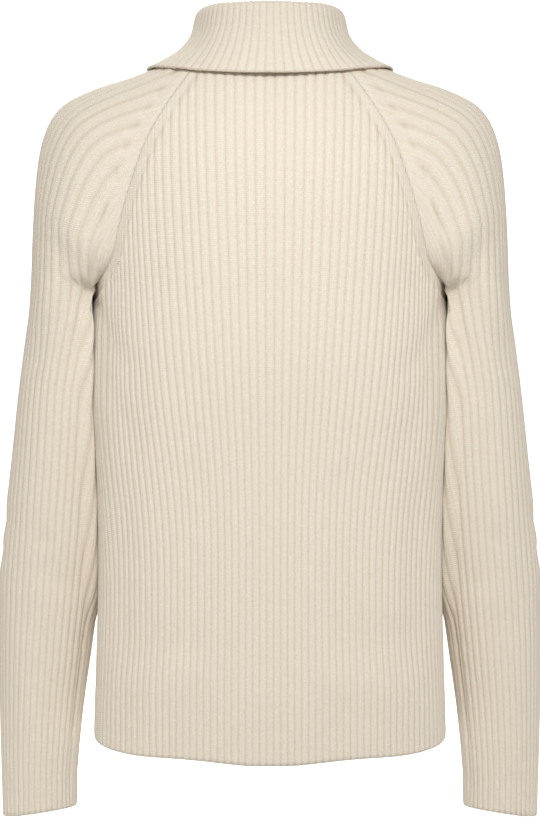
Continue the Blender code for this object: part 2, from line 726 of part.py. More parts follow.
def box(name, low, high, place=None):
    """A box between two corners in millimetres, then placed by a matrix."""
    mesh = bpy.data.meshes.new(name)
    bm = bmesh.new()
    bmesh.ops.create_cube(bm, size=1.0)
    low, high = Vector(low), Vector(high)
    for v in bm.verts:
        v.co = Vector([(high[k] if v.co[k] > 0 else low[k]) * MM for k in range(3)])
    if place:
        bmesh.ops.transform(bm, matrix=place, verts=bm.verts[:])
    bm.to_mesh(mesh)
    bm.free()
    return mesh


def add(name, mesh, material, collection):
    piece = bpy.data.objects.new(name, mesh)
    collection.objects.link(piece)
    if material:
        mesh.materials.append(material)
    return piece


def joined(piece, meshes, operation, guides):
    """Cuts from or adds to a piece, with each of the given boxes."""
    for k, mesh in enumerate(meshes):
        cutter = add(f"{piece.name}_{operation.lower()}_{k}", mesh, None, guides)
        cutter.hide_render = True
        cutter.display_type = "WIRE"
        change = piece.modifiers.new(cutter.name, "BOOLEAN")
        change.operation = operation
        change.object = cutter


def slider_place():
    """The slider's own frame: X across, -Y out of the garment and Z up along the chain."""
    low, high = SLIT_OPEN_Z - 8, SLIT_OPEN_Z + 8
    lean = math.atan2(torso_y(0, high, -1) - torso_y(0, low, -1), high - low)
    spot = Vector((0, torso_y(0, SLIT_OPEN_Z, -1) * MM, SLIT_OPEN_Z * MM))
    return Matrix.Translation(spot) @ Matrix.Rotation(-lean, 4, "X")


def make_zip(main, guides, brass, tape):
    for name, hand in (("zip_tape_left", 1), ("zip_tape_right", -1)):
        add(name, tape_mesh(name, hand), tape, main)
    stop_y = torso_y(0, STOP_Z, -1)
    add("zip_stop", box("zip_stop", (-2.2, stop_y - 1.4, STOP_Z - 2), (2.2, stop_y + 1.0, STOP_Z + 2)), brass, main)

    place = slider_place()
    front, crown = PLATE_FRONT, CROWN_REACH
    slider = add("zip_slider", box("zip_slider", (-4, front, -6), (4, front + 2.0, 5), place), brass, main)
    solids = [
        box("crown", (-1.1, front - crown, -4.2), (1.1, front + 1, 3.0), place),
        box("post", (-0.7, front + 0.6, 4.2), (0.7, 4.0, 7.2), place),
        box("back_plate", (-3, 3.2, -4), (3, 4.6, 6.6), place),
    ]
    joined(slider, solids, "UNION", guides)
    eye = box("eye", (-3, front - crown + 1.3, -2.8), (3, front - 0.15, 1.6), place)
    joined(slider, [eye], "DIFFERENCE", guides)

    swing = bpy.data.objects.new("pull_hinge", None)
    main.objects.link(swing)
    hinge = place @ Vector((0, HINGE_OUT * MM, HINGE_UP * MM))
    swing.location = hinge
    turned = Matrix.Translation(-hinge) @ place
    tab = add(
        "zip_pull",
        box("zip_pull", (-4.2, HINGE_OUT - 0.7, HINGE_UP - PULL_LENGTH), (4.2, HINGE_OUT + 0.7, HINGE_UP + 0.7), turned),
        brass,
        main,
    )
    window = box("window", (-2.4, HINGE_OUT - 2, HINGE_UP - 6.5), (2.4, HINGE_OUT + 2, HINGE_UP - 0.7), turned)
    hole = box("hole", (-1.6, HINGE_OUT - 2, HINGE_UP - PULL_LENGTH + 3), (1.6, HINGE_OUT + 2, HINGE_UP - 15), turned)
    joined(tab, [window, hole], "DIFFERENCE", guides)
    tab.parent = swing
    for cutter in guides.objects:
        if cutter.name.startswith("zip_pull"):
            cutter.parent = swing


# ---------------------------------------------------------------- the garment
def material(name, colour, roughness, metallic=0.0):
    made = bpy.data.materials.new(name)
    made.use_nodes = True
    shader = made.node_tree.nodes["Principled BSDF"]
    shader.inputs["Base Color"].default_value = (*colour, 1)
    shader.inputs["Roughness"].default_value = roughness
    shader.inputs["Metallic"].default_value = metallic
    return made


def main():
    for thing in list(bpy.data.objects):
        bpy.data.objects.remove(thing)
    garment = bpy.data.collections.new("half_zip_sweater")
    guides = bpy.data.collections.new("cutters")
    for collection in (garment, guides):
        bpy.context.scene.collection.children.link(collection)
    knit = material("cream_rib_knit", (0.80, 0.72, 0.60), 0.92)
    tape = material("zip_tape", (0.74, 0.66, 0.54), 0.85)
    brass = material("zip_metal", (0.72, 0.66, 0.52), 0.3, 1.0)

    for name, side, merged in (("back", 1, 99), ("front", -1, SLIT_ROW)):
        outer, inner = body_half(side)
        add(name, wall(name, outer, inner, BODY_STEP, mirrored_rows=merged), knit, garment)
    left = wall("sleeve_left", *sleeve_grids(), SLEEVE_STEP, tube=True)
    add("sleeve_left", left, knit, garment)
    right = left.copy()
    right.transform(Matrix.Scale(-1, 4, (1, 0, 0)))
    right.flip_normals()
    add("sleeve_right", right, None, garment)
    ribbed, plain = collar_half()
    add("collar", wall("collar", ribbed, plain, COLLAR_STEP, mirrored_rows=99), knit, garment)
    make_zip(garment, guides, brass, tape)


main()
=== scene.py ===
"""The looks of a half-zip sweater in cream rib knit: fine cloth on its forms, its zip and a plain studio."""

import math
from functools import lru_cache, partial

import bmesh
import bpy
import numpy as np
from mathutils import Matrix, Vector


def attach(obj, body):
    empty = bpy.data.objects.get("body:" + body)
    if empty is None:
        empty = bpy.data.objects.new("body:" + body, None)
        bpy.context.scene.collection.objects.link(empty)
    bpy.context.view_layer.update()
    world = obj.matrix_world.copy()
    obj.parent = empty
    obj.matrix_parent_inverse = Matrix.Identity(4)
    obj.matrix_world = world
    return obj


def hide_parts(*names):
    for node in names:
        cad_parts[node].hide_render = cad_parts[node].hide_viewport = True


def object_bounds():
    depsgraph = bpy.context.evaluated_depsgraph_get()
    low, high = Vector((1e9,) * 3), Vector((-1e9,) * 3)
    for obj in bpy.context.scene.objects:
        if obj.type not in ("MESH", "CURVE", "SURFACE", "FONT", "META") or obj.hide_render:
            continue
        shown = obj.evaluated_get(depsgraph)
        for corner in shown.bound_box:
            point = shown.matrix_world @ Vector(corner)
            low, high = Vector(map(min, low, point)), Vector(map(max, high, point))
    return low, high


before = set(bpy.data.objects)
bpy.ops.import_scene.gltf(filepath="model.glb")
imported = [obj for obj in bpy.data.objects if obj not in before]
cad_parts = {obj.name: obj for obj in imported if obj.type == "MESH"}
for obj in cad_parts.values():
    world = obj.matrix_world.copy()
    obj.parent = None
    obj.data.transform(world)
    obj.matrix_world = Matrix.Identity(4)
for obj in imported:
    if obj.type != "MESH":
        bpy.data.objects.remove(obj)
cad_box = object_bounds()

bl_info = {
    "name": "Half-zip sweater",
    "version": (1, 0, 0),
    "blender": (4, 5, 0),
    "location": "3D View > Sidebar > Sweater",
    "description": "Knits the sweater's pieces on its forms and sets up a plain studio",
    "category": "Add Mesh",
}

MM = 0.001

# ---------------------------------------------------------------- cloth
WALL_IN = 1.2  # plain inner face, below the form
WALL_OUT = 0.5  # floor between two ribs, above the form
RIB_HEIGHT = 1.2  # a rib's crest above that floor
PLAIN_BAND = (10.0, 12.5)  # the plain band along the raglan seams ends between these distances
SLEEVE_BAND = (14.0, 17.0)

# ---------------------------------------------------------------- ribs, counted from the middle of a piece
BODY_RIBS = 33  # half a front or a back
BODY_NECK_RIBS = 7  # of these, the ones that reach the neck
BODY_RAGLAN_RIBS = 25  # and up to this one they end on the raglan seam, the rest at the underarm
SLEEVE_RIBS = 20
SLEEVE_NECK_RIBS = 5
SLEEVE_RAGLAN_RIBS = 17
BODY_COUNTS = (BODY_NECK_RIBS, BODY_RAGLAN_RIBS, BODY_RIBS)
SLEEVE_COUNTS = (SLEEVE_NECK_RIBS, SLEEVE_RAGLAN_RIBS, SLEEVE_RIBS)
SLEEVE_FAN_FROM = -0.35  # the ribs start to turn towards the raglan seam this far below the underarm
SLEEVE_FAN_POWER = 1.4  # above 1 they turn late
COLLAR_RIBS = 34

# ---------------------------------------------------------------- the torso's form
SECTION_POWER = 2.5  # the sections are superellipses of this power
UNDERARM_Z = -207.0
HEM_SIDE_Z = -595.0
HEM_DIP_BACK = 19.0  # the hem is lower in the middle than at the side seams
HEM_DIP_FRONT = 13.0
FAN_START = 0.32  # the ribs start to spread at this share of a piece's height


def table(columns, rows):
    """A table as one array for each named column."""
    return dict(zip(columns.split(), np.array(rows, float).T))


TORSO = table(
    "z half_width back front",
    [
        (-620, 153.5, 84, 89),
        (-570, 152.0, 84, 90),
        (-525, 150.5, 84, 92),
        (-445, 149.0, 86, 97),
        (-390, 150.0, 89, 102),
        (-340, 153.0, 94, 108),
        (-304, 155.0, 99, 112),
        (-260, 155.0, 104, 117),
        (-207, 154.0, 107, 119),
        (-184, 156.0, 108, 118),
        (-151, 158.0, 108, 116),
        (-117, 157.0, 106, 111),
        (-86, 150.0, 100, 102),
        (-57, 138.0, 90, 87),
        (-29, 116.0, 74, 68),
        (-8, 96.0, 57, 51),
        (10, 84.0, 44, 38),
    ],
)

# The yoke: where the raglan seams and the top of the shoulder run, from the underarm (0) to the neck (1).
YOKE = table(
    "rise back_x back_z front_x front_z top_x top_y top_z half_depth spread",
    [
        (0.00, 154.0, -207, 154.0, -207, 208.5, -4, -195, 54.0, 180),
        (0.13, 148.5, -201, 148.5, -201, 207.5, -4, -160, 60.4, 144),
        (0.26, 136.0, -184, 137.0, -184, 205.5, -4, -124, 73.6, 118),
        (0.40, 128.0, -151, 130.0, -152, 200.5, -4, -84, 82.0, 99),
        (0.53, 118.0, -117, 120.0, -120, 186.0, -4, -51, 86.0, 84),
        (0.66, 107.0, -86, 109.0, -92, 155.0, -4, -33, 87.0, 72),
        (0.78, 92.0, -57, 95.0, -67, 123.0, -4, -23, 84.0, 62),
        (0.90, 74.0, -29, 78.0, -46, 92.0, -3, -12, 76.0, 54),
        (1.00, 60.0, -8, 64.0, -30, 68.0, -2, -3, 68.0, 48),
    ],
)
BIND_OFF = 0.13  # rise of the raglan where the underarm's bound-off edge ends

# The sleeve below the underarm, from it (0) down to the cuff (1).
ARM = table(
    "drop inner_x outer_x y inner_z outer_z half_depth",
    [
        (0.00, 154.0, 208.5, -2, -207, -195, 54.0),
        (0.05, 153.5, 210.0, -4, -230, -222, 53.0),
        (0.12, 152.0, 215.0, -8, -262, -256, 51.0),
        (0.22, 150.0, 222.0, -14, -308, -305, 49.0),
        (0.34, 149.0, 228.5, -20, -362, -362, 46.0),
        (0.46, 150.0, 235.0, -26, -418, -418, 42.5),
        (0.56, 153.5, 239.0, -32, -464, -465, 39.5),
        (0.68, 160.5, 240.5, -38, -520, -521, 37.0),
        (0.84, 170.5, 239.5, -43, -594, -597, 34.5),
        (0.94, 174.5, 238.5, -46, -640, -645, 33.5),
        (1.00, 175.0, 238.0, -47, -667, -674, 33.0),
    ],
)
ARM_SHARE = 1.66  # the sleeve below the underarm is so many times as long as the raglan seam
ARM_CLEAR = 5.2  # the sleeve's form keeps so far from the torso's
ARM_CLEAR_FROM = 13.0  # reached so far below the underarm
FLAT_POWER = 5.0  # the sleeve's inner side lies flat against the body, as a superellipse of this power would
FLAT_TO = 0.26  # up to this rise
FLAT_LOSS = 0.75  # the flatness loses this share down the arm
FLAT_LOSS_DROP = 0.6  # and has lost it here
TORSO_DEPTH = 110.0  # half the torso's, by which its section grows evenly with a clearance

# ---------------------------------------------------------------- neck, collar and zip
NECK_BACK_Z = -14.0
NECK_FRONT_Z = -62.0
SLIT_BOTTOM_Z = -214.0
SLIT_OPEN_Z = -128.0  # the zip is closed up to here, where the slider stands
SLIT_CLOSED = 3.0  # half the slit's width beside the closed chain
SLIT_TOP = 25.0  # half its width at the neck seam
SLIT_ROOM = 9  # so many ribs beside the slit move over for it

# The collar's rings, from the neck seam (0) up the stand, over the fold and down the fall to its edge (1).
COLLAR = table(
    "way side_x side_y back_y front_x front_y back_z side_z front_z",
    [
        (0.12, 65.5, -4, 51.0, 26.5, -76.0, 4, 13, -46),
        (0.28, 61.5, -4, 48.5, 29.0, -74.0, 20, 26, -30),
        (0.41, 57.0, -4, 49.0, 33.0, -76.0, 34, 36, -15),
        (0.47, 59.0, -4, 53.5, 36.0, -80.0, 38.5, 40, -9),
        (0.53, 64.0, -4, 58.5, 39.0, -84.0, 36, 35.5, -9),
        (0.66, 69.0, -4, 62.5, 44.0, -91.0, 19, 17, -22),
        (0.80, 79.5, -4, 68.0, 50.0, -99.0, 1, 3.5, -41),
        (0.91, 94.5, -4, 75.0, 55.0, -106.5, -14, -6, -57),
        (1.00, 108.5, -4, 80.5, 58.0, -112.0, -25, -13.5, -70),
    ],
)

TAPE_LEAD = 2.8  # the tape shows so far past the cloth's edge
TAPE_SEWN = 8.0  # and is sewn on so far behind it
TAPE_THICK = 0.8
TAPE_CLEAR = 0.5  # it keeps so far from the cloth
TAPE_WAYS = (0.2, 0.3, 0.41, 0.47, 0.53, 0.62, 0.74, 0.87, 0.98)  # its rows on the collar
TAPE_SINK = 0.5  # it lies so much further back behind the slit, where the front curves


# ---------------------------------------------------------------- curves
def smooth(rows, key, name, at):
    """The named column at this value of the key column, on a curve that doesn't overshoot the table."""
    x, y = rows[key], rows[name]
    i = int(np.clip(np.searchsorted(x, at) - 1, 0, len(x) - 2))
    step = np.diff(x)
    rate = np.diff(y) / step

    def slope(j):
        if j == 0 or j == len(x) - 1:
            return rate[0 if j == 0 else -1]
        if rate[j - 1] * rate[j] <= 0:
            return 0.0
        return 2 * rate[j - 1] * rate[j] / (rate[j - 1] + rate[j])

    t = float(np.clip((at - x[i]) / step[i], 0, 1))
    a, b = slope(i) * step[i], slope(i + 1) * step[i]
    start = y[i] * (1 + 2 * t) * (1 - t) ** 2 + a * t * (1 - t) ** 2
    return start + y[i + 1] * t * t * (3 - 2 * t) + b * t * t * (t - 1)


def unit(v):
    return v / np.maximum(np.linalg.norm(v, axis=-1, keepdims=True), 1e-12)


def lengths_along(points):
    """How far along a polyline each of its points lies."""
    return np.concatenate([[0], np.cumsum(np.linalg.norm(np.diff(points, axis=0), axis=1))])


def point_at(distance, lengths, points):
    return np.array([np.interp(distance, lengths, points[:, k]) for k in range(3)])


def along(points, share):
    """The point at this share of a polyline's length."""
    lengths = lengths_along(points)
    return point_at(share * lengths[-1], lengths, points)


def soft(t):
    """From 0 to 1 as t does, with soft ends."""
    t = np.clip(t, 0.0, 1.0)
    return t * t * (3 - 2 * t)


# ---------------------------------------------------------------- the torso's form
def torso_size(z, side):
    """Half the form's width at this level, and its depth at the back (side 1) or the front (side -1)."""
    return smooth(TORSO, "z", "half_width", z), smooth(TORSO, "z", "back" if side > 0 else "front", z)


def torso_y(x, z, side):
    """How far the form stands back (side 1) or forward (side -1) at this place."""
    width, depth = torso_size(z, side)
    inside = max(1 - (abs(x) / width) ** SECTION_POWER, 0.0)
    return side * depth * inside ** (1 / SECTION_POWER)


def torso_x(y, z):
    """Half the form's width at this depth."""
    width, depth = torso_size(z, y)
    return width * max(1 - (abs(y) / depth) ** SECTION_POWER, 0.0) ** (1 / SECTION_POWER)


@lru_cache(maxsize=None)
def torso_section(z, side, samples=60):
    """Half a level section, from the middle to the side seam."""
    width, depth = torso_size(z, side)
    turn = np.linspace(0, math.pi / 2, samples)
    power = 2 / SECTION_POWER
    return np.column_stack(
        [width * np.sin(turn) ** power, side * depth * np.cos(turn) ** power, np.full(samples, float(z))]
    )


def on_torso(distance, z, side):
    """The point this far round from the middle, on the section at z."""
    points = torso_section(z, side)
    return point_at(distance, lengths_along(points), points)


def distance_round(x, z, side):
    points = torso_section(z, side)
    return float(np.interp(x, points[:, 0], lengths_along(points)))


# ---------------------------------------------------------------- seams
def raglan(rise, side):
    """The raglan seam of the wearer's left side, at the back (side 1) or the front (side -1)."""
    name = "back" if side > 0 else "front"
    x = smooth(YOKE, "rise", name + "_x", rise)
    z = smooth(YOKE, "rise", name + "_z", rise)
    if rise <= 0:
        return np.array([x, 0.0, z])
    return np.array([x, torso_y(x, z, side), z])


def slit_half_width(z):
    """Half the width of the zip's slit: shut at its foot, as wide as the chain, then spread open."""
    if z <= SLIT_BOTTOM_Z:
        return 0.0
    spread = max(z - SLIT_OPEN_Z, 0.0) / (NECK_FRONT_Z - SLIT_OPEN_Z)
    return SLIT_CLOSED * min((z - SLIT_BOTTOM_Z) / 6.0, 1.0) + (SLIT_TOP - SLIT_CLOSED) * spread**1.35


def neck_on_panel(share, side):
    """The neck seam on the back or front: share 0 in its middle or at the slit's edge, 1 at the raglan."""
    corner = raglan(1.0, side)
    if side > 0:
        start, z0 = 0.0, NECK_BACK_Z
    else:
        start, z0 = slit_half_width(NECK_FRONT_Z), NECK_FRONT_Z
    x = start + (corner[0] - start) * share
    z = z0 + (corner[2] - z0) * (share**2 if side > 0 else share**1.5)
    return np.array([x, torso_y(x, z, side), z])


def rise_of(rib, neck_ribs, raglan_ribs, ribs):
    """How far up the raglan seam a rib ends, on a piece with so many ribs to its neck, seam and side."""
    if rib <= neck_ribs:
        return 1.0
    if rib <= raglan_ribs:
        return 1 - (1 - BIND_OFF) * (rib - neck_ribs) / (raglan_ribs - neck_ribs)
    return BIND_OFF * (ribs - rib) / (ribs - raglan_ribs)


def rib_at(rise, neck_ribs, raglan_ribs, ribs):
    """The rib that ends this far up the raglan seam."""
    if rise >= BIND_OFF:
        return raglan_ribs - (raglan_ribs - neck_ribs) * (rise - BIND_OFF) / (1 - BIND_OFF)
    return ribs - (ribs - raglan_ribs) * rise / BIND_OFF


# ---------------------------------------------------------------- the body's panels
def rib_top(rib, side):
    """Where this rib of a half panel ends: at the neck, on the raglan seam or at the underarm."""
    if rib <= BODY_NECK_RIBS:
        return neck_on_panel(rib / BODY_NECK_RIBS, side)
    return raglan(rise_of(rib, *BODY_COUNTS), side)


def slit_room(rib, z):
    """How far this rib of the front moves over for the slit."""
    return slit_half_width(z) * max(1 - rib / SLIT_ROOM, 0.0) ** 2


def hem_z(rib, side):
    dip = HEM_DIP_BACK if side > 0 else HEM_DIP_FRONT
    return HEM_SIDE_Z - dip * math.cos(rib / BODY_RIBS * math.pi / 2) ** 0.8


@lru_cache(maxsize=None)
def panel(rib, height, side):
    """The form of half a back or front: rib 0 is its middle, height runs from hem (0) to rib's end (1)."""
    end, low = rib_top(rib, side), hem_z(rib, side)
    z = low + (end[2] - low) * height
    whole = lengths_along(torso_section(low, side))[-1]
    share = rib / BODY_RIBS
    foot = share * whole
    level = share * lengths_along(torso_section(min(z, UNDERARM_Z), side))[-1]
    top = distance_round(end[0] - (slit_room(rib, end[2]) if side < 0 else 0.0), end[2], side)
    fan = soft((height - FAN_START) / (1 - FAN_START))
    waist = foot + (level - foot) * soft(height / FAN_START)
    point = on_torso(waist + (top - waist) * fan, z, side)
    if side < 0:
        # the slit's edges stand apart, and the cloth beside them makes room
        if height >= 1:
            return end.copy()
        point[0] += slit_room(rib, z)
        if rib < SLIT_ROOM:
            point[1] = torso_y(point[0], z, side)
    return point


# ---------------------------------------------------------------- the sleeves
@lru_cache(maxsize=None)
def sleeve_section(drop, samples=48):
    """Half a sleeve's section as two polylines, back and front, from the outer line round to the seam.
    drop is 1 at the cuff, 0 at the underarm and -1 at the neck."""
    if drop <= 0:
        rise = -drop
        back, front = raglan(rise, 1), raglan(rise, -1)
        top = np.array([smooth(YOKE, "rise", k, rise) for k in ("top_x", "top_y", "top_z")])
        spread = math.radians(smooth(YOKE, "rise", "spread", rise))
        depth = smooth(YOKE, "rise", "half_depth", rise)
        across = unit(back - front) if rise > 0.02 else np.array([0.0, 1.0, 0.0])
    else:
        inner = np.array([smooth(ARM, "drop", k, drop) for k in ("inner_x", "y", "inner_z")])
        top = np.array([smooth(ARM, "drop", k, drop) for k in ("outer_x", "y", "outer_z")])
        back = front = inner
        spread, depth, across = math.pi, smooth(ARM, "drop", "half_depth", drop), np.array([0.0, 1.0, 0.0])
    middle = (back + front) / 2
    chord = np.linalg.norm(back - front) / 2
    reach = np.linalg.norm(top - middle)
    out = (top - middle) / reach
    bulge = reach / (1 - math.cos(spread))
    turn = np.linspace(0, spread, samples)[:, None]
    flat = soft(1 + drop / FLAT_TO) if drop < 0 else 1 - FLAT_LOSS * soft(drop / FLAT_LOSS_DROP)
    cosine, sine = np.cos(turn), np.sin(turn)
    inner_half = turn / spread > 0.5
    even = turn / spread * math.pi
    wide, deep = np.abs(np.cos(even)), np.abs(np.sin(even))
    cosine = cosine - inner_half * flat * (wide ** (2 / FLAT_POWER) - wide) * wide ** 0.3
    sine = sine + inner_half * flat * (deep ** (2 / FLAT_POWER) - deep)
    halves = []
    for side in (1, -1):
        sideways = depth * sine + (chord - depth * math.sin(spread)) * (turn / spread) ** (1 + 4 * flat)
        points = middle + out * bulge * (cosine - math.cos(spread)) + side * across * sideways
        if drop > 0:
            for p in points:
                below = UNDERARM_Z - p[2]
                clear = ARM_CLEAR * min(max(below / ARM_CLEAR_FROM, 0.0), 1.0)
                grown = 1 + clear / TORSO_DEPTH
                p[0] = max(p[0], torso_x(p[1] / grown, p[2]) + clear)
        halves.append(points)
    return halves


@lru_cache(maxsize=None)
def half_round(place, half):
    """The length of half a sleeve's section, evened out where the seam cuts its inner end off."""
    if 0 < place < FLAT_TO:
        low, high = half_round(0.0, half), half_round(FLAT_TO, half)
        return low + (high - low) * place / FLAT_TO
    return lengths_along(sleeve_section(-place if place >= 0 else -place / ARM_SHARE)[half])[-1]


@lru_cache(maxsize=None)
def sleeve(rib, height):
    """The form of the left sleeve. rib 0 is its outer line, with positive ribs behind it and negative before;
    height runs from the cuff (0) to the rib's end (1)."""
    size = abs(rib)
    end = rise_of(size, *SLEEVE_COUNTS)
    place = -ARM_SHARE + height * (ARM_SHARE + end)
    drop = -place if place >= 0 else -place / ARM_SHARE
    half = 0 if rib >= 0 else 1
    points = sleeve_section(drop)[half]
    distance = size / SLEEVE_RIBS * half_round(place, half)
    if place > SLEEVE_FAN_FROM:
        last = 1.0 if size > SLEEVE_NECK_RIBS else size / SLEEVE_NECK_RIBS
        target = last * lengths_along(sleeve_section(-end)[half])[-1]
        fanned = (place - SLEEVE_FAN_FROM) / (end - SLEEVE_FAN_FROM)
        distance += (target - distance) * fanned**SLEEVE_FAN_POWER
    return along(points, min(distance / lengths_along(points)[-1], 1.0))


def neck_on_sleeve(share):
    """The neck seam over the left sleeve's end, from the back raglan seam (0) to the front one (1)."""
    back, front = sleeve_section(-1.0)
    return along(np.vstack([back[::-1], front[1:]]), share)


# ---------------------------------------------------------------- the collar
def neck_seam():
    """Half the neck seam as a polyline, from the centre back to the zip on the wearer's left."""
    steps = np.linspace(0, 1, 16)
    points = [neck_on_panel(s, 1) for s in steps]
    points += [neck_on_sleeve(s) for s in steps[1:]]
    points += [neck_on_panel(1 - s, -1) for s in steps[1:]]
    return np.array(points)


NECK_SEAM = neck_seam()


@lru_cache(maxsize=None)
def collar_ring(way, samples=64):
    """Half a ring of the collar, from the centre back to its front edge."""
    side_x, side_y, back_y, front_x, front_y, back_z, side_z, front_z = (
        smooth(COLLAR, "way", name, way) for name in COLLAR if name != "way"
    )
    last = math.asin(min(front_x / side_x, 1.0))
    points = []
    for turn in np.linspace(0, math.pi - last, samples):
        x = side_x * math.sin(turn) ** 0.92
        if turn <= math.pi / 2:
            y = side_y + (back_y - side_y) * math.cos(turn)
            z = side_z + (back_z - side_z) * math.cos(turn) ** 2
        else:
            share = -math.cos(turn) / math.cos(last)
            y = side_y + (front_y - side_y) * share
            z = side_z + (front_z - side_z) * share**1.5
        points.append((x, y, z))
    return np.array(points)


FIRST_RING = COLLAR["way"][0]
FALL_FROM = 0.6  # from here on the fall lies on the shoulders
FALL_CLEAR = 4.2  # its form keeps so far from theirs
YOKE_HEIGHT = 0.72  # the shoulders' form is read from this share of a rib's height upwards
NECK_AXIS_Y = -8.0
NECK_LIFT, NECK_LIFT_SIDE = 18, 26  # the way out at the neck seam points up by so many degrees


def neck_out(point):
    """Outwards at the neck seam, halfway between the panel's face and the collar's."""
    flat = unit(np.array([point[0], point[1] - NECK_AXIS_Y, 0.0]))
    lift = math.radians(NECK_LIFT + NECK_LIFT_SIDE * flat[0] ** 2)  # more at the sides
    return flat * math.cos(lift) + np.array([0, 0, math.sin(lift)])


@lru_cache(maxsize=None)
def shoulders():
    """Points on the garment's forms round the neck, and the way out at each, for what lies on them."""
    points, outs = [], []
    for height in np.linspace(YOKE_HEIGHT, 0.998, 16):
        for side in (1, -1):
            form = partial(panel, side=side)
            for rib in np.linspace(0, 24, 33):
                points.append(panel(rib, height, side))
                outs.append(normal(form, rib, height, (0, BODY_RIBS)) * -side)
        for rib in np.linspace(-13, 13, 41):
            points.append(sleeve(rib, height))
            outs.append(normal(sleeve, rib, height, (-SLEEVE_RIBS, SLEEVE_RIBS)))
    return np.array(points), np.array(outs)


def lifted(point, clear):
    """The point, moved out where it is nearer to the shoulders than this."""
    points, outs = shoulders()
    away = np.linalg.norm(points - point, axis=1)
    near = np.argsort(away)[:6]
    weight = 1 / (away[near] + 1.0) ** 2
    weight /= weight.sum()
    out = unit((outs[near] * weight[:, None]).sum(0))
    height = float((((point - points[near]) * outs[near]).sum(1) * weight).sum())
    return point + out * max(clear - height, 0.0)


@lru_cache(maxsize=None)
def collar(rib, way):
    """The collar's form on the wearer's left: rib 0 is the centre back, way runs from neck seam to edge."""
    share = rib / COLLAR_RIBS
    if way > FALL_FROM:
        return lifted(along(collar_ring(way), share), FALL_CLEAR)
    if way >= FIRST_RING:
        return along(collar_ring(way), share)
    seam = along(NECK_SEAM, share)
    return seam + (along(collar_ring(FIRST_RING), share) - seam) * way / FIRST_RING


# ---------------------------------------------------------------- seams and normals
def normal(form, rib, height, ribs, step=0.02):
    """Outwards on a form whose ribs and heights run so that the two tangents turn that way."""
    a, b = max(rib - 0.25, ribs[0]), min(rib + 0.25, ribs[1])
    low, high = max(height - step, 0.0), min(height + step, 0.999)
    return unit(np.cross(form(b, height) - form(a, height), form(rib, high) - form(rib, low)))


NEAR_END = 0.985  # a height just below a rib's end


def into_piece(form, rib):
    """From a rib's end down into its piece."""
    return unit(form(rib, NEAR_END) - form(rib, 1.0))


def seam_out(rise, side):
    """Outwards on the raglan seam, halfway between the two pieces that meet there."""
    rise = min(max(rise, 0.004), 0.985)
    body = partial(panel, side=side)

    def arm(rib, height):
        return sleeve(side * rib, height)

    rib, other = rib_at(rise, *BODY_COUNTS), rib_at(rise, *SLEEVE_COUNTS)
    faces = normal(body, rib, NEAR_END, (0, BODY_RIBS)) * -side
    faces = faces + normal(arm, other, NEAR_END, (0, SLEEVE_RIBS)) * side
    folded = into_piece(body, rib) + into_piece(arm, other)
    hollow = 1.0 if rise < 0.5 else 0.0
    down = soft(1 - rise / BIND_OFF)
    between = unit(faces + folded * hollow * 0.8)
    return unit(between * (1 - down) + np.array([0.0, 0.0, -1.0]) * down)


def tape_line(lead, back):
    """The rows of a zip tape: behind the slit's edge, up the inside of the stand and over the fold. Each row
    is a point at the tape's free edge, one at its sewn edge, the way out of the cloth's hidden face, and how
    far that face is from the form."""
    rows = []
    for z in np.linspace(SLIT_BOTTOM_Z - 4, NECK_FRONT_Z - 3, 12):
        edge = max(slit_half_width(z), SLIT_CLOSED)
        points = [np.array([x, torso_y(x, z, -1), z]) for x in (max(edge - lead, 0.0), edge + back)]
        rows.append((*points, np.array([0.0, 1.0, 0.0]), WALL_IN + TAPE_SINK))
    for way in TAPE_WAYS:
        edge = collar(COLLAR_RIBS, way)
        inside = collar(COLLAR_RIBS - 1.0, way)
        across = unit(inside - edge)
        out = normal(collar, COLLAR_RIBS - 0.5, way, (0, COLLAR_RIBS))
        rows.append((edge - across * lead, edge + across * back, out, WALL_OUT + RIB_HEIGHT))
    return rows


# ---------------------------------------------------------------- fine cloth
PER_RIB = 6  # columns to a rib
PANEL_ROWS, SLEEVE_ROWS, COLLAR_ROWS = 118, 116, 60
COLLAR_RIB_HEIGHT = 0.75
COURSE = 1.9  # one row of stitches, mm
INNER_RELIEF = 0.5  # how far the inside follows the ribs, mm
SEAM_ROLL = 5.0  # the cloth rolls into a seam over this, mm
HEM_BAND = 48.0  # height of the hem's denser band, mm
CUFF_BAND = 30.0
BAND_LINE = 0.55  # depth of the soft line above a band, mm
HEM_WAVE = 1.3  # how far the hem's edge waves up and down, mm
MARK_RISE = 0.8  # a rib stands up by this where it ends beside the plain band, mm
MARK_DEPTH = 1.3  # and the fashioning mark between two ribs sinks in by this, mm
PLAIN_RELIEF = 0.16  # the plain band's rows of stitches, mm
PLAIN_COURSE = 2.9
SLACK = 0.4  # the cloth lies uneven by this, mm
CREST_POWER = 0.7  # below 1 a rib's crest is broad and its groove narrow
PLAIN_SHADE = 0.14  # the plain band gets so much painted shade, where 1 is the painted shade at the bottom of a groove
BODY_MARK_SHADE, SLEEVE_MARK_SHADE = 1.8, 1.4  # and a mark gets so much painted shade for each mm that it sinks in
FORM_ROWS = 44  # a form is worked out at so many heights, and read on smooth curves between them
TOUCHING = 3.3  # between the forms of a sleeve and the body where their ribs touch, mm
HUG_REACH = 13.0  # cloth of the sleeve that stands off by less is laid against the body
HUG_PULLED_Z = -188.0  # from here down it is pulled in, and from the underarm down pushed out
HUG_END_Z = -510.0
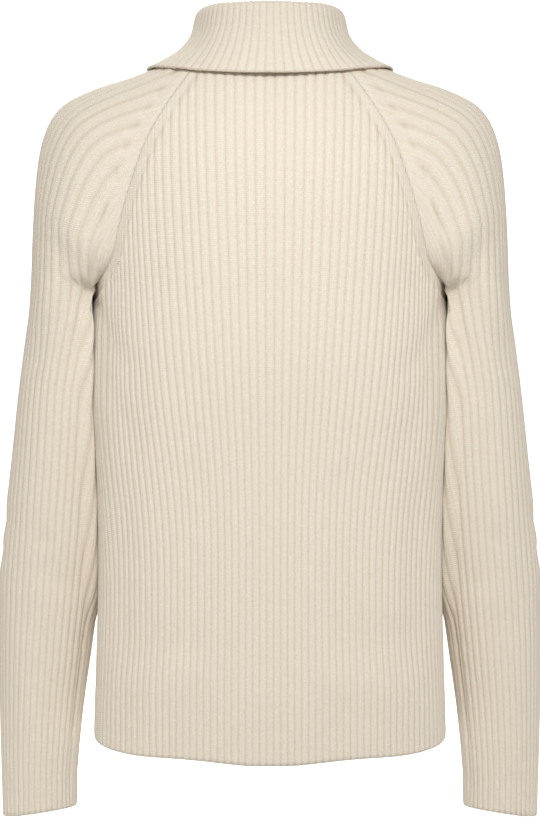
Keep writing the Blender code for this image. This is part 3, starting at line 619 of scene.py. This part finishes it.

# Creases, listed one by one: each is a trough (or a ridge, below 0) from one place to another, in mm.
CREASES = table(
    "x0 y0 z0 x1 y1 z1 width depth",
    [
        # the elbow's folds
        (228, -44, -402, 198, 16, -428, 10, 2.4),
        (234, -24, -438, 190, 12, -446, 7, 1.7),
        (238, -50, -418, 234, 6, -404, 9, 1.5),
        (176, 12, -470, 206, -2, -452, 9, 1.9),
        (236, -30, -462, 204, -2, -476, 12, -1.3),
        # from the armpit down the sleeve and up to the shoulder, behind and in front
        (158, 44, -222, 182, 44, -300, 9, 2.6),
        (164, 52, -206, 200, 34, -268, 11, 1.8),
        (176, 54, -196, 206, 30, -236, 12, -1.2),
        (158, -44, -222, 182, -60, -300, 9, 2.8),
        (166, -54, -206, 202, -44, -268, 11, 1.9),
        # the inner lower sleeve
        (160, -10, -465, 167, -18, -520, 4, 2.0),
        (167, -18, -520, 177, -24, -600, 4, 2.2),
        (177, -24, -600, 182, -28, -655, 4, 1.6),
        (186, -4, -560, 196, -10, -640, 11, 1.3),
        # increase marks beside it
        (166, -16, -508, 174, -8, -520, 1.8, 0.9),
        (169, -18, -533, 177, -10, -545, 1.8, 0.9),
        (172, -20, -558, 180, -12, -570, 1.8, 0.9),
        (175, -22, -583, 183, -14, -595, 1.8, 0.9),
        (178, -24, -608, 186, -16, -620, 1.8, 0.8),
        (210, -4, -520, 216, -14, -620, 14, -1.0),
        # from the armpit across the body, behind and in front
        (150, 40, -222, 124, 80, -276, 13, 2.2),
        (150, -42, -222, 122, -98, -282, 13, 2.6),
        (142, 50, -262, 122, 80, -345, 15, 1.6),
        (142, -60, -262, 118, -98, -345, 15, 2.0),
        # soft rolls over the hem and down the sides
        (112, 66, -556, 58, 82, -540, 20, -1.6),
        (118, 60, -505, 66, 80, -520, 16, 1.2),
        (30, 84, -572, -2, 84, -562, 18, -1.2),
        (96, -70, -560, 40, -88, -548, 22, -1.6),
        (124, 58, -400, 126, 58, -520, 15, 1.5),
        (64, 88, -380, 70, 82, -500, 22, 1.2),
    ],
)


def refine(grid, rows, columns):
    """A grid read between its own points, on smooth curves, at these rows and columns."""
    for axis, at in ((0, rows), (1, columns)):
        grid = np.moveaxis(grid, axis, 0)
        last = len(grid) - 1
        i = np.minimum(np.floor(at + 1e-9).astype(int), last - 1)
        t = (at - i).reshape(-1, *[1] * (grid.ndim - 1))
        a, b = grid[np.maximum(i - 1, 0)], grid[i]
        c, d = grid[i + 1], grid[np.minimum(i + 2, last)]
        grid = b + 0.5 * t * (c - a + t * (2 * a - 5 * b + 4 * c - d + t * (3 * (b - c) + d - a)))
        grid = np.moveaxis(grid, 0, axis)
    return grid


def creased(points):
    """How far out of the form the creases move these points, in mm."""
    total = np.zeros(points.shape[:-1])
    for x0, y0, z0, x1, y1, z1, width, depth in zip(*CREASES.values()):
        start, run = np.array([x0, y0, z0], float), np.array([x1 - x0, y1 - y0, z1 - z0], float)
        share = ((points - start) @ run) / (run @ run)
        near = points - start - np.clip(share, 0, 1)[..., None] * run
        total -= depth * np.exp(-((np.linalg.norm(near, axis=-1) / width) ** 2))
    return total


def to_seam(points, seam):
    """How far each point of a grid is from a piece's seamed edge, in mm."""
    away = np.full(points.shape[:-1], 1e9)
    for spot in seam:
        away = np.minimum(away, ((points - spot) ** 2).sum(-1))
    return np.sqrt(away)


def outwards(points, sign, tube):
    """The way out of a grid's surface at each point."""
    along_rib = np.gradient(points, axis=0)
    if tube:
        wrapped = np.concatenate([points[:, -2:-1], points, points[:, 1:2]], axis=1)
        across = (wrapped[:, 2:] - wrapped[:, :-2]) / 2
    else:
        across = np.gradient(points, axis=1)
    return unit(np.cross(across, along_rib) * sign)


def beside_seam(points, rib, crest, neck_ribs, band):
    """How strong the ribs are, and how high the marks and stitches beside the raglan seam stand, in mm."""
    away = to_seam(points, points[-1, np.abs(rib) >= neck_ribs][::2])
    strength = soft((away - band[0]) / (band[1] - band[0]))
    mark = MARK_RISE * crest**2 * np.exp(-(((away - band[1] - 0.5) / 1.8) ** 2))
    mark = mark - MARK_DEPTH * (1 - crest) * np.exp(-(((away - band[0] - 0.5) / 1.4) ** 2))
    stitches = PLAIN_RELIEF * (1 - strength) * np.cos(2 * np.pi * away / PLAIN_COURSE)
    return strength, mark * (np.abs(rib) > neck_ribs - 0.5) + stitches


def knitted(
    form, ribs, size, sign, neck_ribs, band, hem_line, top_out, tube=False, height=RIB_HEIGHT, moved=None
):
    """The two faces of a piece of cloth on its form, as grids: outer points, inner points, uv and the shade
    painted in its grooves and marks.

    ribs are the form's first and last, size is the number of rows, and sign says which way is out. band is
    where the plain band beside the raglan seam ends, hem_line the height of the band at the open end, and
    top_out the way out at a rib's end. moved changes the form's points, in mm."""
    base_ribs = np.arange(ribs[0], ribs[1] + 0.25, 0.5)
    base = np.array([[form(rib, share) for rib in base_ribs] for share in np.linspace(0, 1, FORM_ROWS)])
    columns = np.linspace(0, len(base_ribs) - 1, int((ribs[1] - ribs[0]) * PER_RIB) + 1)
    points = refine(base, np.linspace(0, FORM_ROWS - 1, size), columns)
    rib = ribs[0] + columns / 2
    if moved:
        points = moved(points)
    if hem_line:
        near_hem = soft(1 - (np.arange(size) / size) / 0.1)[:, None]
        points[..., 2] -= HEM_WAVE * np.sin(points[..., 0] / 19 + 1.1) * near_hem
    steps = np.linalg.norm(np.diff(points, axis=0), axis=-1)
    from_hem = np.concatenate([np.zeros((1, len(rib))), np.cumsum(steps, axis=0)])
    from_top = from_hem[-1] - from_hem
    out = outwards(points, sign, tube)
    if top_out:
        ends = np.array([top_out(r) for r in base_ribs])[None].repeat(2, 0)
        ends = refine(ends, np.array([0.0]), columns)[0]
        roll = soft(1 - from_top / SEAM_ROLL)[..., None]
        out = unit(out * (1 - roll) + ends * roll)
    crest = (0.5 + 0.5 * np.cos(2 * np.pi * rib)) ** CREST_POWER
    strength, mark = np.ones_like(from_top), np.zeros_like(from_top)
    if band:
        strength, mark = beside_seam(points, rib, crest, neck_ribs, band)
    line = BAND_LINE * np.exp(-(((from_hem - hem_line) / 2.2) ** 2)) if hem_line else 0.0
    edge = 1 - 0.5 * soft(1 - from_top / 2.5) - 0.5 * soft(1 - from_hem / 1.5)
    relief = height * crest * strength + mark - line
    fold = creased(points)
    wave = SLACK * np.sin(from_hem / 47 + rib * 0.31) * np.sin(rib * 0.53 + from_hem / 83)
    outer = points + out * (WALL_OUT * edge + relief + fold + wave)[..., None]
    inner = points + out * (-WALL_IN + INNER_RELIEF * crest * strength + fold + wave)[..., None]
    uv = np.stack([np.broadcast_to(rib, from_hem.shape), from_hem / COURSE], axis=-1)
    # painted shade in the sunken fashioning marks, more on the body than on the sleeves
    mark_shade = (SLEEVE_MARK_SHADE if tube else BODY_MARK_SHADE) * np.minimum(mark, 0)
    # painted shade: darkest at the bottom of each groove between ribs, and a little in the plain band
    painted_shade = (1 - crest) * strength + PLAIN_SHADE * (1 - strength) - mark_shade
    return outer, inner, uv, painted_shade


def cloth_mesh(name, grids, tube=False, mirrored=False, shared_rows=0):
    """A closed mesh from a piece's two faces, with its knit UV map and the shade painted in its grooves and
    marks as an attribute.
    """
    outer, inner, uv, painted_shade = grids
    rows, columns = outer.shape[:2]
    kept = columns - 1 if tube else columns
    index = np.arange(rows * kept).reshape(rows, kept)
    if tube:
        index = np.concatenate([index, index[:, :1]], axis=1)
    inside = index + rows * kept

    def quads(grid, i0, i1, j0, j1, turned):
        a, b, c, d = grid[i0, j0], grid[i0, j1], grid[i1, j1], grid[i1, j0]
        order = (a, d, c, b) if turned else (a, b, c, d)
        return np.stack(order, axis=-1).reshape(-1, 4)

    i, j = np.meshgrid(np.arange(rows - 1), np.arange(columns - 1), indexing="ij")
    maps = np.arange(rows * columns).reshape(rows, columns)
    faces = [quads(index, i, i + 1, j, j + 1, False), quads(inside, i, i + 1, j, j + 1, True)]
    corners = [quads(maps, i, i + 1, j, j + 1, False), quads(maps, i, i + 1, j, j + 1, True)]

    def rim(edge, edge_maps, other):
        a, b = edge[:-1], edge[1:]
        c, d = other[1:], other[:-1]
        faces.append(np.stack([b, a, d, c], axis=-1))
        m, n = edge_maps[:-1], edge_maps[1:]
        corners.append(np.stack([n, m, m, n], axis=-1))

    rim(index[0], maps[0], inside[0])
    rim(index[-1][::-1], maps[-1][::-1], inside[-1][::-1])
    if not tube:
        rim(index[:, -1], maps[:, -1], inside[:, -1])
        if shared_rows < rows:
            rim(index[shared_rows:, 0][::-1], maps[shared_rows:, 0][::-1], inside[shared_rows:, 0][::-1])
    faces, corners = np.concatenate(faces), np.concatenate(corners)
    points = np.concatenate([outer[:, :kept].reshape(-1, 3), inner[:, :kept].reshape(-1, 3)])
    shade = np.concatenate([painted_shade[:, :kept].ravel(), painted_shade[:, :kept].ravel()])
    uv = uv.reshape(-1, 2)[corners]
    if mirrored:
        faces = np.concatenate([faces, faces[:, ::-1] + len(points)])
        other = uv[:, ::-1] * (-1, 1)
        uv = np.concatenate([uv, other])
        points = np.concatenate([points, points * (-1, 1, 1)])
        shade = np.concatenate([shade, shade])
    mesh = bpy.data.meshes.new(name)
    mesh.vertices.add(len(points))
    mesh.vertices.foreach_set("co", (points * MM).ravel())
    mesh.loops.add(faces.size)
    mesh.loops.foreach_set("vertex_index", faces.ravel())
    mesh.polygons.add(len(faces))
    mesh.polygons.foreach_set("loop_start", np.arange(0, faces.size, 4))
    mesh.polygons.foreach_set("loop_total", np.full(len(faces), 4))
    mesh.update(calc_edges=True)
    layer = mesh.uv_layers.new(name="knit")
    layer.data.foreach_set("uv", uv.ravel())
    # the painted shade of grooves and marks, which the knit finish reads
    attribute = mesh.attributes.new("painted_shade", "FLOAT", "POINT")
    attribute.data.foreach_set("value", shade)
    bm = bmesh.new()
    bm.from_mesh(mesh)
    if mirrored:
        middle = [v for v in bm.verts if abs(v.co.x) < 1e-7]
        bmesh.ops.remove_doubles(bm, verts=middle, dist=1e-6)
    bmesh.ops.recalc_face_normals(bm, faces=bm.faces[:])
    bm.to_mesh(mesh)
    bm.free()
    mesh.shade_smooth()
    return mesh


def other_hand(mesh):
    """Turns a left piece's mesh into the right one's."""
    mesh.transform(Matrix.Scale(-1, 4, (1, 0, 0)))
    mesh.flip_normals()
    return mesh


def placed(mesh, slot, node=None):
    """Adds a piece in this finish, which stands for a CAD node."""
    piece = bpy.data.objects.new(mesh.name, mesh)
    bpy.context.scene.collection.objects.link(piece)
    mesh.materials.clear()
    mesh.materials.append(finish_of(slot))
    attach(piece, "garment")
    if node:
        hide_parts(node)
    return piece


def middle_flat(points, rows):
    """Puts a half panel's first column on the middle plane, in the rows that the halves share."""
    points[:rows, 0, 0] = 0.0


def panel_mesh(name, side, size):
    def top_out(rib):
        end = rib_top(rib, side)
        if rib <= BODY_NECK_RIBS:
            return neck_out(end)
        return seam_out(rise_of(rib, *BODY_COUNTS), side)

    form = partial(panel, side=side)
    grids = knitted(form, (0, BODY_RIBS), size, -side, BODY_NECK_RIBS, PLAIN_BAND, HEM_BAND, top_out)
    rows = size
    if side < 0:
        foot = (SLIT_BOTTOM_Z - hem_z(0, side)) / (NECK_FRONT_Z - hem_z(0, side))
        rows = int(foot * (size - 1)) + 1
    for grid in grids[:2]:
        middle_flat(grid, rows)
    return cloth_mesh(name, grids, mirrored=True, shared_rows=rows - 1 if side < 0 else size)


def hugged(points):
    """Lays a sleeve's inner side against the body, as far down as they touch."""
    x, y, z = np.moveaxis(points, -1, 0)
    width = np.interp(z, TORSO["z"], TORSO["half_width"])
    depth = np.where(y > 0, np.interp(z, TORSO["z"], TORSO["back"]), np.interp(z, TORSO["z"], TORSO["front"]))
    flank = width * np.clip(1 - (np.abs(y) / depth) ** SECTION_POWER, 0, 1) ** (1 / SECTION_POWER)
    over = x - flank - TOUCHING
    below = np.where(over > 0, soft((HUG_PULLED_Z - z) / 30), soft((UNDERARM_Z - z) / 8))
    share = soft((HUG_REACH - over) / 8) * below * soft((z - HUG_END_Z) / 50)
    moved = points.copy()
    moved[..., 0] -= over * share
    return moved


def sleeve_mesh(name):
    def top_out(rib):
        if abs(rib) <= SLEEVE_NECK_RIBS:
            return neck_out(sleeve(rib, 1.0))
        return seam_out(rise_of(abs(rib), *SLEEVE_COUNTS), 1 if rib >= 0 else -1)

    ribs, neck_ribs = (-SLEEVE_RIBS, SLEEVE_RIBS), SLEEVE_NECK_RIBS
    grids = knitted(
        sleeve, ribs, SLEEVE_ROWS, 1, neck_ribs, SLEEVE_BAND, CUFF_BAND, top_out, tube=True, moved=hugged
    )
    return cloth_mesh(name, grids, tube=True)


def collar_mesh(name):
    ribs = (0, COLLAR_RIBS)
    grids = knitted(collar, ribs, COLLAR_ROWS, 1, COLLAR_RIBS + 1, None, 0.0, None, height=COLLAR_RIB_HEIGHT)
    for grid in grids[:2]:
        middle_flat(grid, COLLAR_ROWS)
    return cloth_mesh(name, grids, mirrored=True, shared_rows=COLLAR_ROWS)


# ---------------------------------------------------------------- finishes
def node(tree, kind, **values):
    made = tree.nodes.new(kind)
    for key, value in values.items():
        setattr(made, key, value)
    return made


def maths(tree, operation, *values, clamp=False):
    """A sum of numbers or of other nodes' outputs."""
    made = node(tree, "ShaderNodeMath", operation=operation, use_clamp=clamp)
    for socket, value in zip(made.inputs, values):
        if isinstance(value, (int, float)):
            socket.default_value = value
        else:
            tree.links.new(value, socket)
    return made.outputs[0]


def noise(tree, scale, detail):
    """An even noise in the object's own space."""
    made = node(tree, "ShaderNodeTexNoise")
    made.inputs["Scale"].default_value = scale
    made.inputs["Detail"].default_value = detail
    coords = node(tree, "ShaderNodeTexCoord")
    tree.links.new(coords.outputs["Object"], made.inputs["Vector"])
    return made.outputs[0]


def mixed(tree, share, first, second):
    """From the first colour to the second."""
    made = node(tree, "ShaderNodeMix", data_type="RGBA")
    tree.links.new(share, made.inputs[0])
    made.inputs[6].default_value = (*first, 1)
    made.inputs[7].default_value = (*second, 1)
    return made.outputs[2]


def bumped(tree, height, distance, strength=1.0):
    """Bump of this depth in metres on the material's shader."""
    made = node(tree, "ShaderNodeBump")
    made.inputs["Distance"].default_value = distance
    made.inputs["Strength"].default_value = strength
    tree.links.new(height, made.inputs["Height"])
    tree.links.new(made.outputs[0], tree.nodes["Principled BSDF"].inputs["Normal"])


def material(name, values):
    """A new material, its node tree and its shader with these values."""
    made = bpy.data.materials.new(name)
    made.use_nodes = True
    shader = made.node_tree.nodes["Principled BSDF"]
    for key, value in values.items():
        shader.inputs[key].default_value = value
    return made, made.node_tree, shader


def stitch_group():
    """Rows of knit stitches from a rib UV map: a mask of the yarn and its height."""
    tree = bpy.data.node_groups.new("knit_stitches", "ShaderNodeTree")
    for name, default in (("Wales", 2.0), ("Slant", 0.5), ("Fuzz", 0.35)):
        tree.interface.new_socket(name, in_out="INPUT", socket_type="NodeSocketFloat").default_value = default
    for name in ("Yarn", "Height"):
        tree.interface.new_socket(name, in_out="OUTPUT", socket_type="NodeSocketFloat")
    ins, outs = node(tree, "NodeGroupInput"), node(tree, "NodeGroupOutput")
    split = node(tree, "ShaderNodeSeparateXYZ")
    tree.links.new(node(tree, "ShaderNodeUVMap", uv_map="knit").outputs[0], split.inputs[0])
    part = maths(tree, "FRACT", maths(tree, "MULTIPLY", split.outputs[0], ins.outputs["Wales"]))
    side = maths(tree, "MULTIPLY", maths(tree, "ABSOLUTE", maths(tree, "SUBTRACT", part, 0.5)), 2.0)
    lean = maths(tree, "MULTIPLY", side, ins.outputs["Slant"])
    phase = maths(tree, "MULTIPLY", maths(tree, "ADD", split.outputs[1], lean), 2 * math.pi)
    loop = maths(tree, "MULTIPLY_ADD", maths(tree, "SINE", phase), 0.5, 0.5)
    round_off = maths(tree, "SUBTRACT", 1.0, maths(tree, "POWER", side, 3.0))
    yarn = maths(tree, "MULTIPLY", round_off, maths(tree, "MULTIPLY_ADD", loop, 0.6, 0.4))
    fuzz = maths(tree, "MULTIPLY", noise(tree, 900.0, 3.0), ins.outputs["Fuzz"])
    tree.links.new(yarn, outs.inputs["Yarn"])
    tree.links.new(maths(tree, "ADD", yarn, fuzz), outs.inputs["Height"])
    return tree


def knit_material(colours, stitches):
    """Cream yarn, with shade painted between its stitches and in the grooves between ribs."""
    made, tree, shader = material(
        "cream_rib_knit",
        {"Roughness": 0.95, "Specular IOR Level": 0.12, "Sheen Weight": 0.12, "Sheen Roughness": 0.6},
    )
    group = node(tree, "ShaderNodeGroup", node_tree=stitches)
    # painted shade from the grooves, the plain band and the marks darkens the yarn's colour
    painted_shade = node(tree, "ShaderNodeAttribute", attribute_name="painted_shade")
    shade = maths(tree, "MULTIPLY", painted_shade.outputs["Fac"], 0.4)
    # painted shade between the stitches, where the yarn mask falls off
    stitch_gap_shade = maths(tree, "MULTIPLY", maths(tree, "SUBTRACT", 1.0, group.outputs["Yarn"]), 0.35)
    mottle = maths(tree, "MULTIPLY", maths(tree, "SUBTRACT", noise(tree, 620.0, 4.0), 0.5), 0.9)
    total = maths(tree, "ADD", maths(tree, "ADD", shade, stitch_gap_shade), mottle, clamp=True)
    blend = mixed(tree, total, colours.yarn, colours.yarn_shade)
    tree.links.new(blend, shader.inputs["Base Color"])
    bumped(tree, group.outputs["Height"], 0.6 * MM, strength=0.7)
    return made


def plain_material(name, colour, roughness, metallic=0.0, grain=900.0, depth=0.05 * MM):
    """A smooth finish with a fine uneven grain."""
    made, tree, shader = material(name, {"Metallic": metallic})
    uneven = noise(tree, grain, 2.0)
    tree.links.new(mixed(tree, uneven, colour, [c * 0.8 for c in colour]), shader.inputs["Base Color"])
    tree.links.new(maths(tree, "MULTIPLY_ADD", uneven, 0.15, roughness), shader.inputs["Roughness"])
    bumped(tree, uneven, depth)
    return made


# ---------------------------------------------------------------- zip
TOOTH_PITCH = 2.4
TOOTH_SIZE = (3.0, 1.3, 1.2)  # across, out and along the chain, mm
TOOTH_PROUD = 0.15  # its middle stands out from the tape's face by this
TOOTH_GRIP = 0.9  # and lies so far in from the tape's edge
CHAIN_START = 14.0  # the teeth run from here above the tape's foot
CHAIN_END = 4.0  # to here before its top


def tape_rows(count):
    """The tape's rows on smooth curves: free edge, sewn edge and the way out of its face, in mm."""
    rows = tape_line(TAPE_LEAD, TAPE_SEWN)
    base = np.array([[free, sewn, out, (lift, 0, 0)] for free, sewn, out, lift in rows])
    fine = refine(base, np.linspace(0, len(rows) - 1, count), np.arange(4.0))
    return fine[:, 0], fine[:, 1], fine[:, 2] / np.linalg.norm(fine[:, 2], axis=1)[:, None], fine[:, 3, 0]


def tape_mesh(name, hand):
    free, sewn, out, lift = tape_rows(140)
    across = 7
    share = np.linspace(0, 1, across)[None, :, None]
    lower = free[:, None] * (1 - share) + sewn[:, None] * share
    lower = lower + out[:, None] * (lift[:, None, None] + TAPE_CLEAR)
    upper = lower + out[:, None] * TAPE_THICK
    lower[..., 0] = np.maximum(lower[..., 0], TAPE_CLEAR / 2)
    upper[..., 0] = np.maximum(upper[..., 0], TAPE_CLEAR / 2)
    run = lengths_along(free)
    uv = np.stack(np.broadcast_arrays(np.linspace(0, 4, across)[None], run[:, None] / 3), axis=-1)
    mesh = cloth_mesh(name, (upper, lower, uv, np.zeros(upper.shape[:2])))
    return other_hand(mesh) if hand < 0 else mesh


def teeth_mesh(name, hand):
    """A row of teeth clamped on the tape's free edge, each a bevelled block."""
    bpy.ops.object.select_all(action="DESELECT")
    bpy.ops.mesh.primitive_cube_add(size=1.0)
    tooth = bpy.context.object
    tooth.scale = [s * MM for s in TOOTH_SIZE]
    bpy.ops.object.transform_apply(location=False, rotation=False, scale=True)
    rounding = tooth.modifiers.new("rounding", "BEVEL")
    rounding.width, rounding.segments = 0.28 * MM, 2
    bpy.ops.object.modifier_apply(modifier="rounding")
    block = tooth.data.copy()
    bpy.data.objects.remove(tooth)
    free, sewn, out, lift = tape_rows(400)
    run = lengths_along(free)
    bm = bmesh.new()
    start = CHAIN_START + (TOOTH_PITCH / 2 if hand < 0 else 0.0)
    for at in np.arange(start, run[-1] - CHAIN_END, TOOTH_PITCH):
        edge, inside, face = point_at(at, run, free), point_at(at, run, sewn), unit(point_at(at, run, out))
        along_chain = unit(point_at(at + 1, run, free) - point_at(at - 1, run, free))
        across = unit(np.cross(along_chain, face))
        if across @ (edge - inside) < 0:
            across = -across
        rise = float(np.interp(at, run, lift)) + TAPE_CLEAR
        shown = rise - TOOTH_PROUD if face[1] > 0.9 else rise + TAPE_THICK + TOOTH_PROUD
        spot = edge + face * shown - across * TOOTH_GRIP
        rows = [(across[r], face[r], along_chain[r], spot[r] * MM) for r in range(3)]
        matrix = Matrix((*rows, (0, 0, 0, 1)))
        first = len(bm.verts)
        bm.from_mesh(block)
        bm.verts.ensure_lookup_table()
        bmesh.ops.transform(bm, matrix=matrix, verts=bm.verts[first:])
    bmesh.ops.recalc_face_normals(bm, faces=bm.faces[:])
    mesh = bpy.data.meshes.new(name)
    bm.to_mesh(mesh)
    bm.free()
    mesh.shade_smooth()
    return other_hand(mesh) if hand < 0 else mesh


# ---------------------------------------------------------------- settings
def colour(name, description, value):
    return bpy.props.FloatVectorProperty(name=name, description=description, subtype="COLOR", default=value)


def amount(name, description, value, unit="NONE"):
    return bpy.props.FloatProperty(name=name, description=description, unit=unit, default=value)


class SweaterColours(bpy.types.PropertyGroup):
    yarn: colour("Yarn", "The yarn where light meets it", (0.87, 0.805, 0.705))
    yarn_shade: colour("Yarn shade", "The yarn in its own shade", (0.675, 0.58, 0.46))
    tape: colour("Tape", "The zip's woven tape", (0.76, 0.68, 0.56))
    metal: colour("Metal", "Teeth, slider and pull tab", (0.80, 0.72, 0.55))


class SweaterStudio(bpy.types.PropertyGroup):
    distance: amount("Camera distance", "From the garment's middle", 2.4, "LENGTH")
    height: amount("Camera height", "Level of the camera", -0.3155, "LENGTH")
    tall: amount("View height", "What the picture holds at the garment's middle", 0.7278, "LENGTH")
    key: amount("Key light", "Power of the main light", 138.0, "POWER")
    fill: amount("Fill light", "Power of the side lights", 1.6, "POWER")
    sky: amount("Sky", "Strength of the even light all round", 0.4)


FINISHES = {}


def finish_of(name):
    """Each finish, made once."""
    if not FINISHES:
        colours = bpy.context.scene.sweater_colours
        tape, metal = tuple(colours.tape), tuple(colours.metal)
        FINISHES["knit"] = knit_material(colours, stitch_group())
        FINISHES["tape"] = plain_material("woven_zip_tape", tape, 0.8, grain=1400.0, depth=0.2 * MM)
        FINISHES["metal"] = plain_material("satin_zip_metal", metal, 0.22, metallic=1.0)
    return FINISHES[name]


# ---------------------------------------------------------------- studio
FLOOR_DROP = 0.06  # the floor lies so far below the garment, m
SWEEP_NEAR = 7.0  # the paper lies level from here at its back
SWEEP_TURN = 5.0  # to here at its front, where it turns up
SWEEP_ROUND = 1.5
SWEEP_TALL = 8.0
SWEEP_SIDE = 9.0  # half its width
PAPER_GLOW = 0.12  # the white paper's own light on the garment
LAMP_AIM = (0, 0, -0.34)
KEY_ANGLE = 38.0  # degrees
FRONT_KEY = 0.24  # the light on the front, as a share of the main one
SKY_WARMTH = (1, 0.96, 0.89)


def paper_mesh(floor_z):
    """White paper that turns up behind the garment's front."""
    profile = [(SWEEP_NEAR, floor_z), (-SWEEP_TURN, floor_z)]
    for turn in np.linspace(0.1, math.pi / 2, 14):
        rise = SWEEP_ROUND * (1 - math.cos(turn))
        profile.append((-SWEEP_TURN - SWEEP_ROUND * math.sin(turn), floor_z + rise))
    profile.append((-SWEEP_TURN - SWEEP_ROUND, floor_z + SWEEP_TALL))
    points = [(x, y, z) for y, z in profile for x in (-SWEEP_SIDE, SWEEP_SIDE)]
    faces = [(2 * i, 2 * i + 1, 2 * i + 3, 2 * i + 2) for i in range(len(profile) - 1)]
    mesh = bpy.data.meshes.new("paper_sweep")
    mesh.from_pydata(points, [], faces)
    mesh.shade_smooth()
    white = {"Base Color": (0.9, 0.9, 0.9, 1), "Emission Color": (1, 1, 1, 1)}
    paper, tree, shader = material("white_paper", white)
    glow = maths(tree, "MULTIPLY_ADD", seen_by_camera(tree), 1.0, PAPER_GLOW)
    tree.links.new(glow, shader.inputs["Emission Strength"])
    mesh.materials.append(paper)
    return mesh


def seen_by_camera(tree):
    return node(tree, "ShaderNodeLightPath").outputs["Is Camera Ray"]


def lamp(name, place, power, size):
    """A soft light turned to the garment."""
    light = bpy.data.lights.new(name, "SPOT" if name == "key" else "AREA")
    light.energy = power
    if name == "key":
        light.spot_size, light.spot_blend, light.shadow_soft_size = math.radians(KEY_ANGLE), 1.0, size
    else:
        light.size = size
    made = bpy.data.objects.new(name, light)
    made.location = place
    made.rotation_euler = (Vector(LAMP_AIM) - Vector(place)).to_track_quat("-Z", "Y").to_euler()
    return made


def sky(strength):
    """Even light all round, which the camera sees as white."""
    world = bpy.data.worlds.new("sky")
    world.use_nodes = True
    tree, light = world.node_tree, world.node_tree.nodes["Background"]
    seen = seen_by_camera(tree)
    tree.links.new(mixed(tree, seen, SKY_WARMTH, (1, 1, 1)), light.inputs[0])
    tree.links.new(maths(tree, "MULTIPLY_ADD", seen, 1 - strength, strength), light.inputs[1])
    return world


# ---------------------------------------------------------------- operators
class SWEATER_OT_body(bpy.types.Operator):
    """Knit the back and the front"""

    bl_idname = "sweater.body"
    bl_label = "Back and front"

    def execute(self, context):
        back = placed(panel_mesh("knit_back", 1, PANEL_ROWS), "knit", "back")
        front = placed(panel_mesh("knit_front", -1, PANEL_ROWS), "knit", "front")
        return {"FINISHED"}


class SWEATER_OT_sleeves(bpy.types.Operator):
    """Knit the two sleeves"""

    bl_idname = "sweater.sleeves"
    bl_label = "Sleeves"

    def execute(self, context):
        left = placed(sleeve_mesh("knit_sleeve_left"), "knit", "sleeve_left")
        mesh = other_hand(left.data.copy())
        mesh.name = "knit_sleeve_right"
        right = placed(mesh, "knit", "sleeve_right")
        return {"FINISHED"}


class SWEATER_OT_collar(bpy.types.Operator):
    """Knit the folded collar"""

    bl_idname = "sweater.collar"
    bl_label = "Collar"

    def execute(self, context):
        piece = placed(collar_mesh("knit_collar"), "knit", "collar")
        return {"FINISHED"}


class SWEATER_OT_zip(bpy.types.Operator):
    """Make the zip's tapes and teeth and finish its metal pieces"""

    bl_idname = "sweater.zip"
    bl_label = "Zip"

    def execute(self, context):
        for word, hand in (("left", 1), ("right", -1)):
            tape = placed(tape_mesh(f"tape_{word}", hand), "tape", f"zip_tape_{word}")
            placed(teeth_mesh(f"teeth_{word}", hand), "metal")
        for name in ("zip_stop", "zip_slider", "zip_pull"):
            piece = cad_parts[name]
            piece.data.materials.clear()
            piece.data.materials.append(finish_of("metal"))
        return {"FINISHED"}


class SWEATER_OT_studio(bpy.types.Operator):
    """Set up the floor, the lights and the camera"""

    bl_idname = "sweater.studio"
    bl_label = "Studio"

    def execute(self, context):
        studio, scene = context.scene.sweater_studio, context.scene
        sweep = bpy.data.objects.new("paper_sweep", paper_mesh(cad_box[0][2] - FLOOR_DROP))
        scene.collection.objects.link(sweep)
        for name, place, power, size in (
            ("key", (-0.1, 1.85, 0.95), studio.key, 0.35),
            ("fill_right", (-2.0, 1.2, 0.2), studio.fill, 1.4),
            ("fill_left", (2.0, 1.2, 0.2), studio.fill, 1.4),
            ("front_key", (0.5, -1.9, 1.2), studio.key * FRONT_KEY, 1.2),
        ):
            scene.collection.objects.link(lamp(name, place, power, size))
        scene.world = sky(studio.sky)
        scene.view_settings.view_transform = "Standard"

        view = bpy.data.cameras.new("camera")
        view.lens = view.sensor_width * studio.distance / studio.tall
        camera = bpy.data.objects.new("camera", view)
        camera.location = (0, studio.distance, studio.height)
        camera.rotation_euler = (math.pi / 2, 0, math.pi)
        scene.collection.objects.link(camera)
        scene.camera = camera
        return {"FINISHED"}


class SWEATER_PT_panel(bpy.types.Panel):
    bl_label = "Half-zip sweater"
    bl_idname = "SWEATER_PT_panel"
    bl_space_type = "VIEW_3D"
    bl_region_type = "UI"
    bl_category = "Sweater"

    def draw(self, context):
        for operator in OPERATORS:
            self.layout.operator(operator.bl_idname)
        for settings in (context.scene.sweater_colours, context.scene.sweater_studio):
            for key in settings.bl_rna.properties.keys():
                if key not in ("rna_type", "name"):
                    self.layout.prop(settings, key)


OPERATORS = (SWEATER_OT_body, SWEATER_OT_sleeves, SWEATER_OT_collar, SWEATER_OT_zip, SWEATER_OT_studio)
CLASSES = (SweaterColours, SweaterStudio, *OPERATORS, SWEATER_PT_panel)


def register():
    for kind in CLASSES:
        bpy.utils.register_class(kind)
    bpy.types.Scene.sweater_colours = bpy.props.PointerProperty(type=SweaterColours)
    bpy.types.Scene.sweater_studio = bpy.props.PointerProperty(type=SweaterStudio)


def unregister():
    del bpy.types.Scene.sweater_studio
    del bpy.types.Scene.sweater_colours
    for kind in reversed(CLASSES):
        bpy.utils.unregister_class(kind)


def main():
    register()
    bpy.ops.object.select_all(action="DESELECT")
    for operator in OPERATORS:
        package, name = operator.bl_idname.split(".")
        getattr(getattr(bpy.ops, package), name)()


if __name__ == "__main__":
    main()
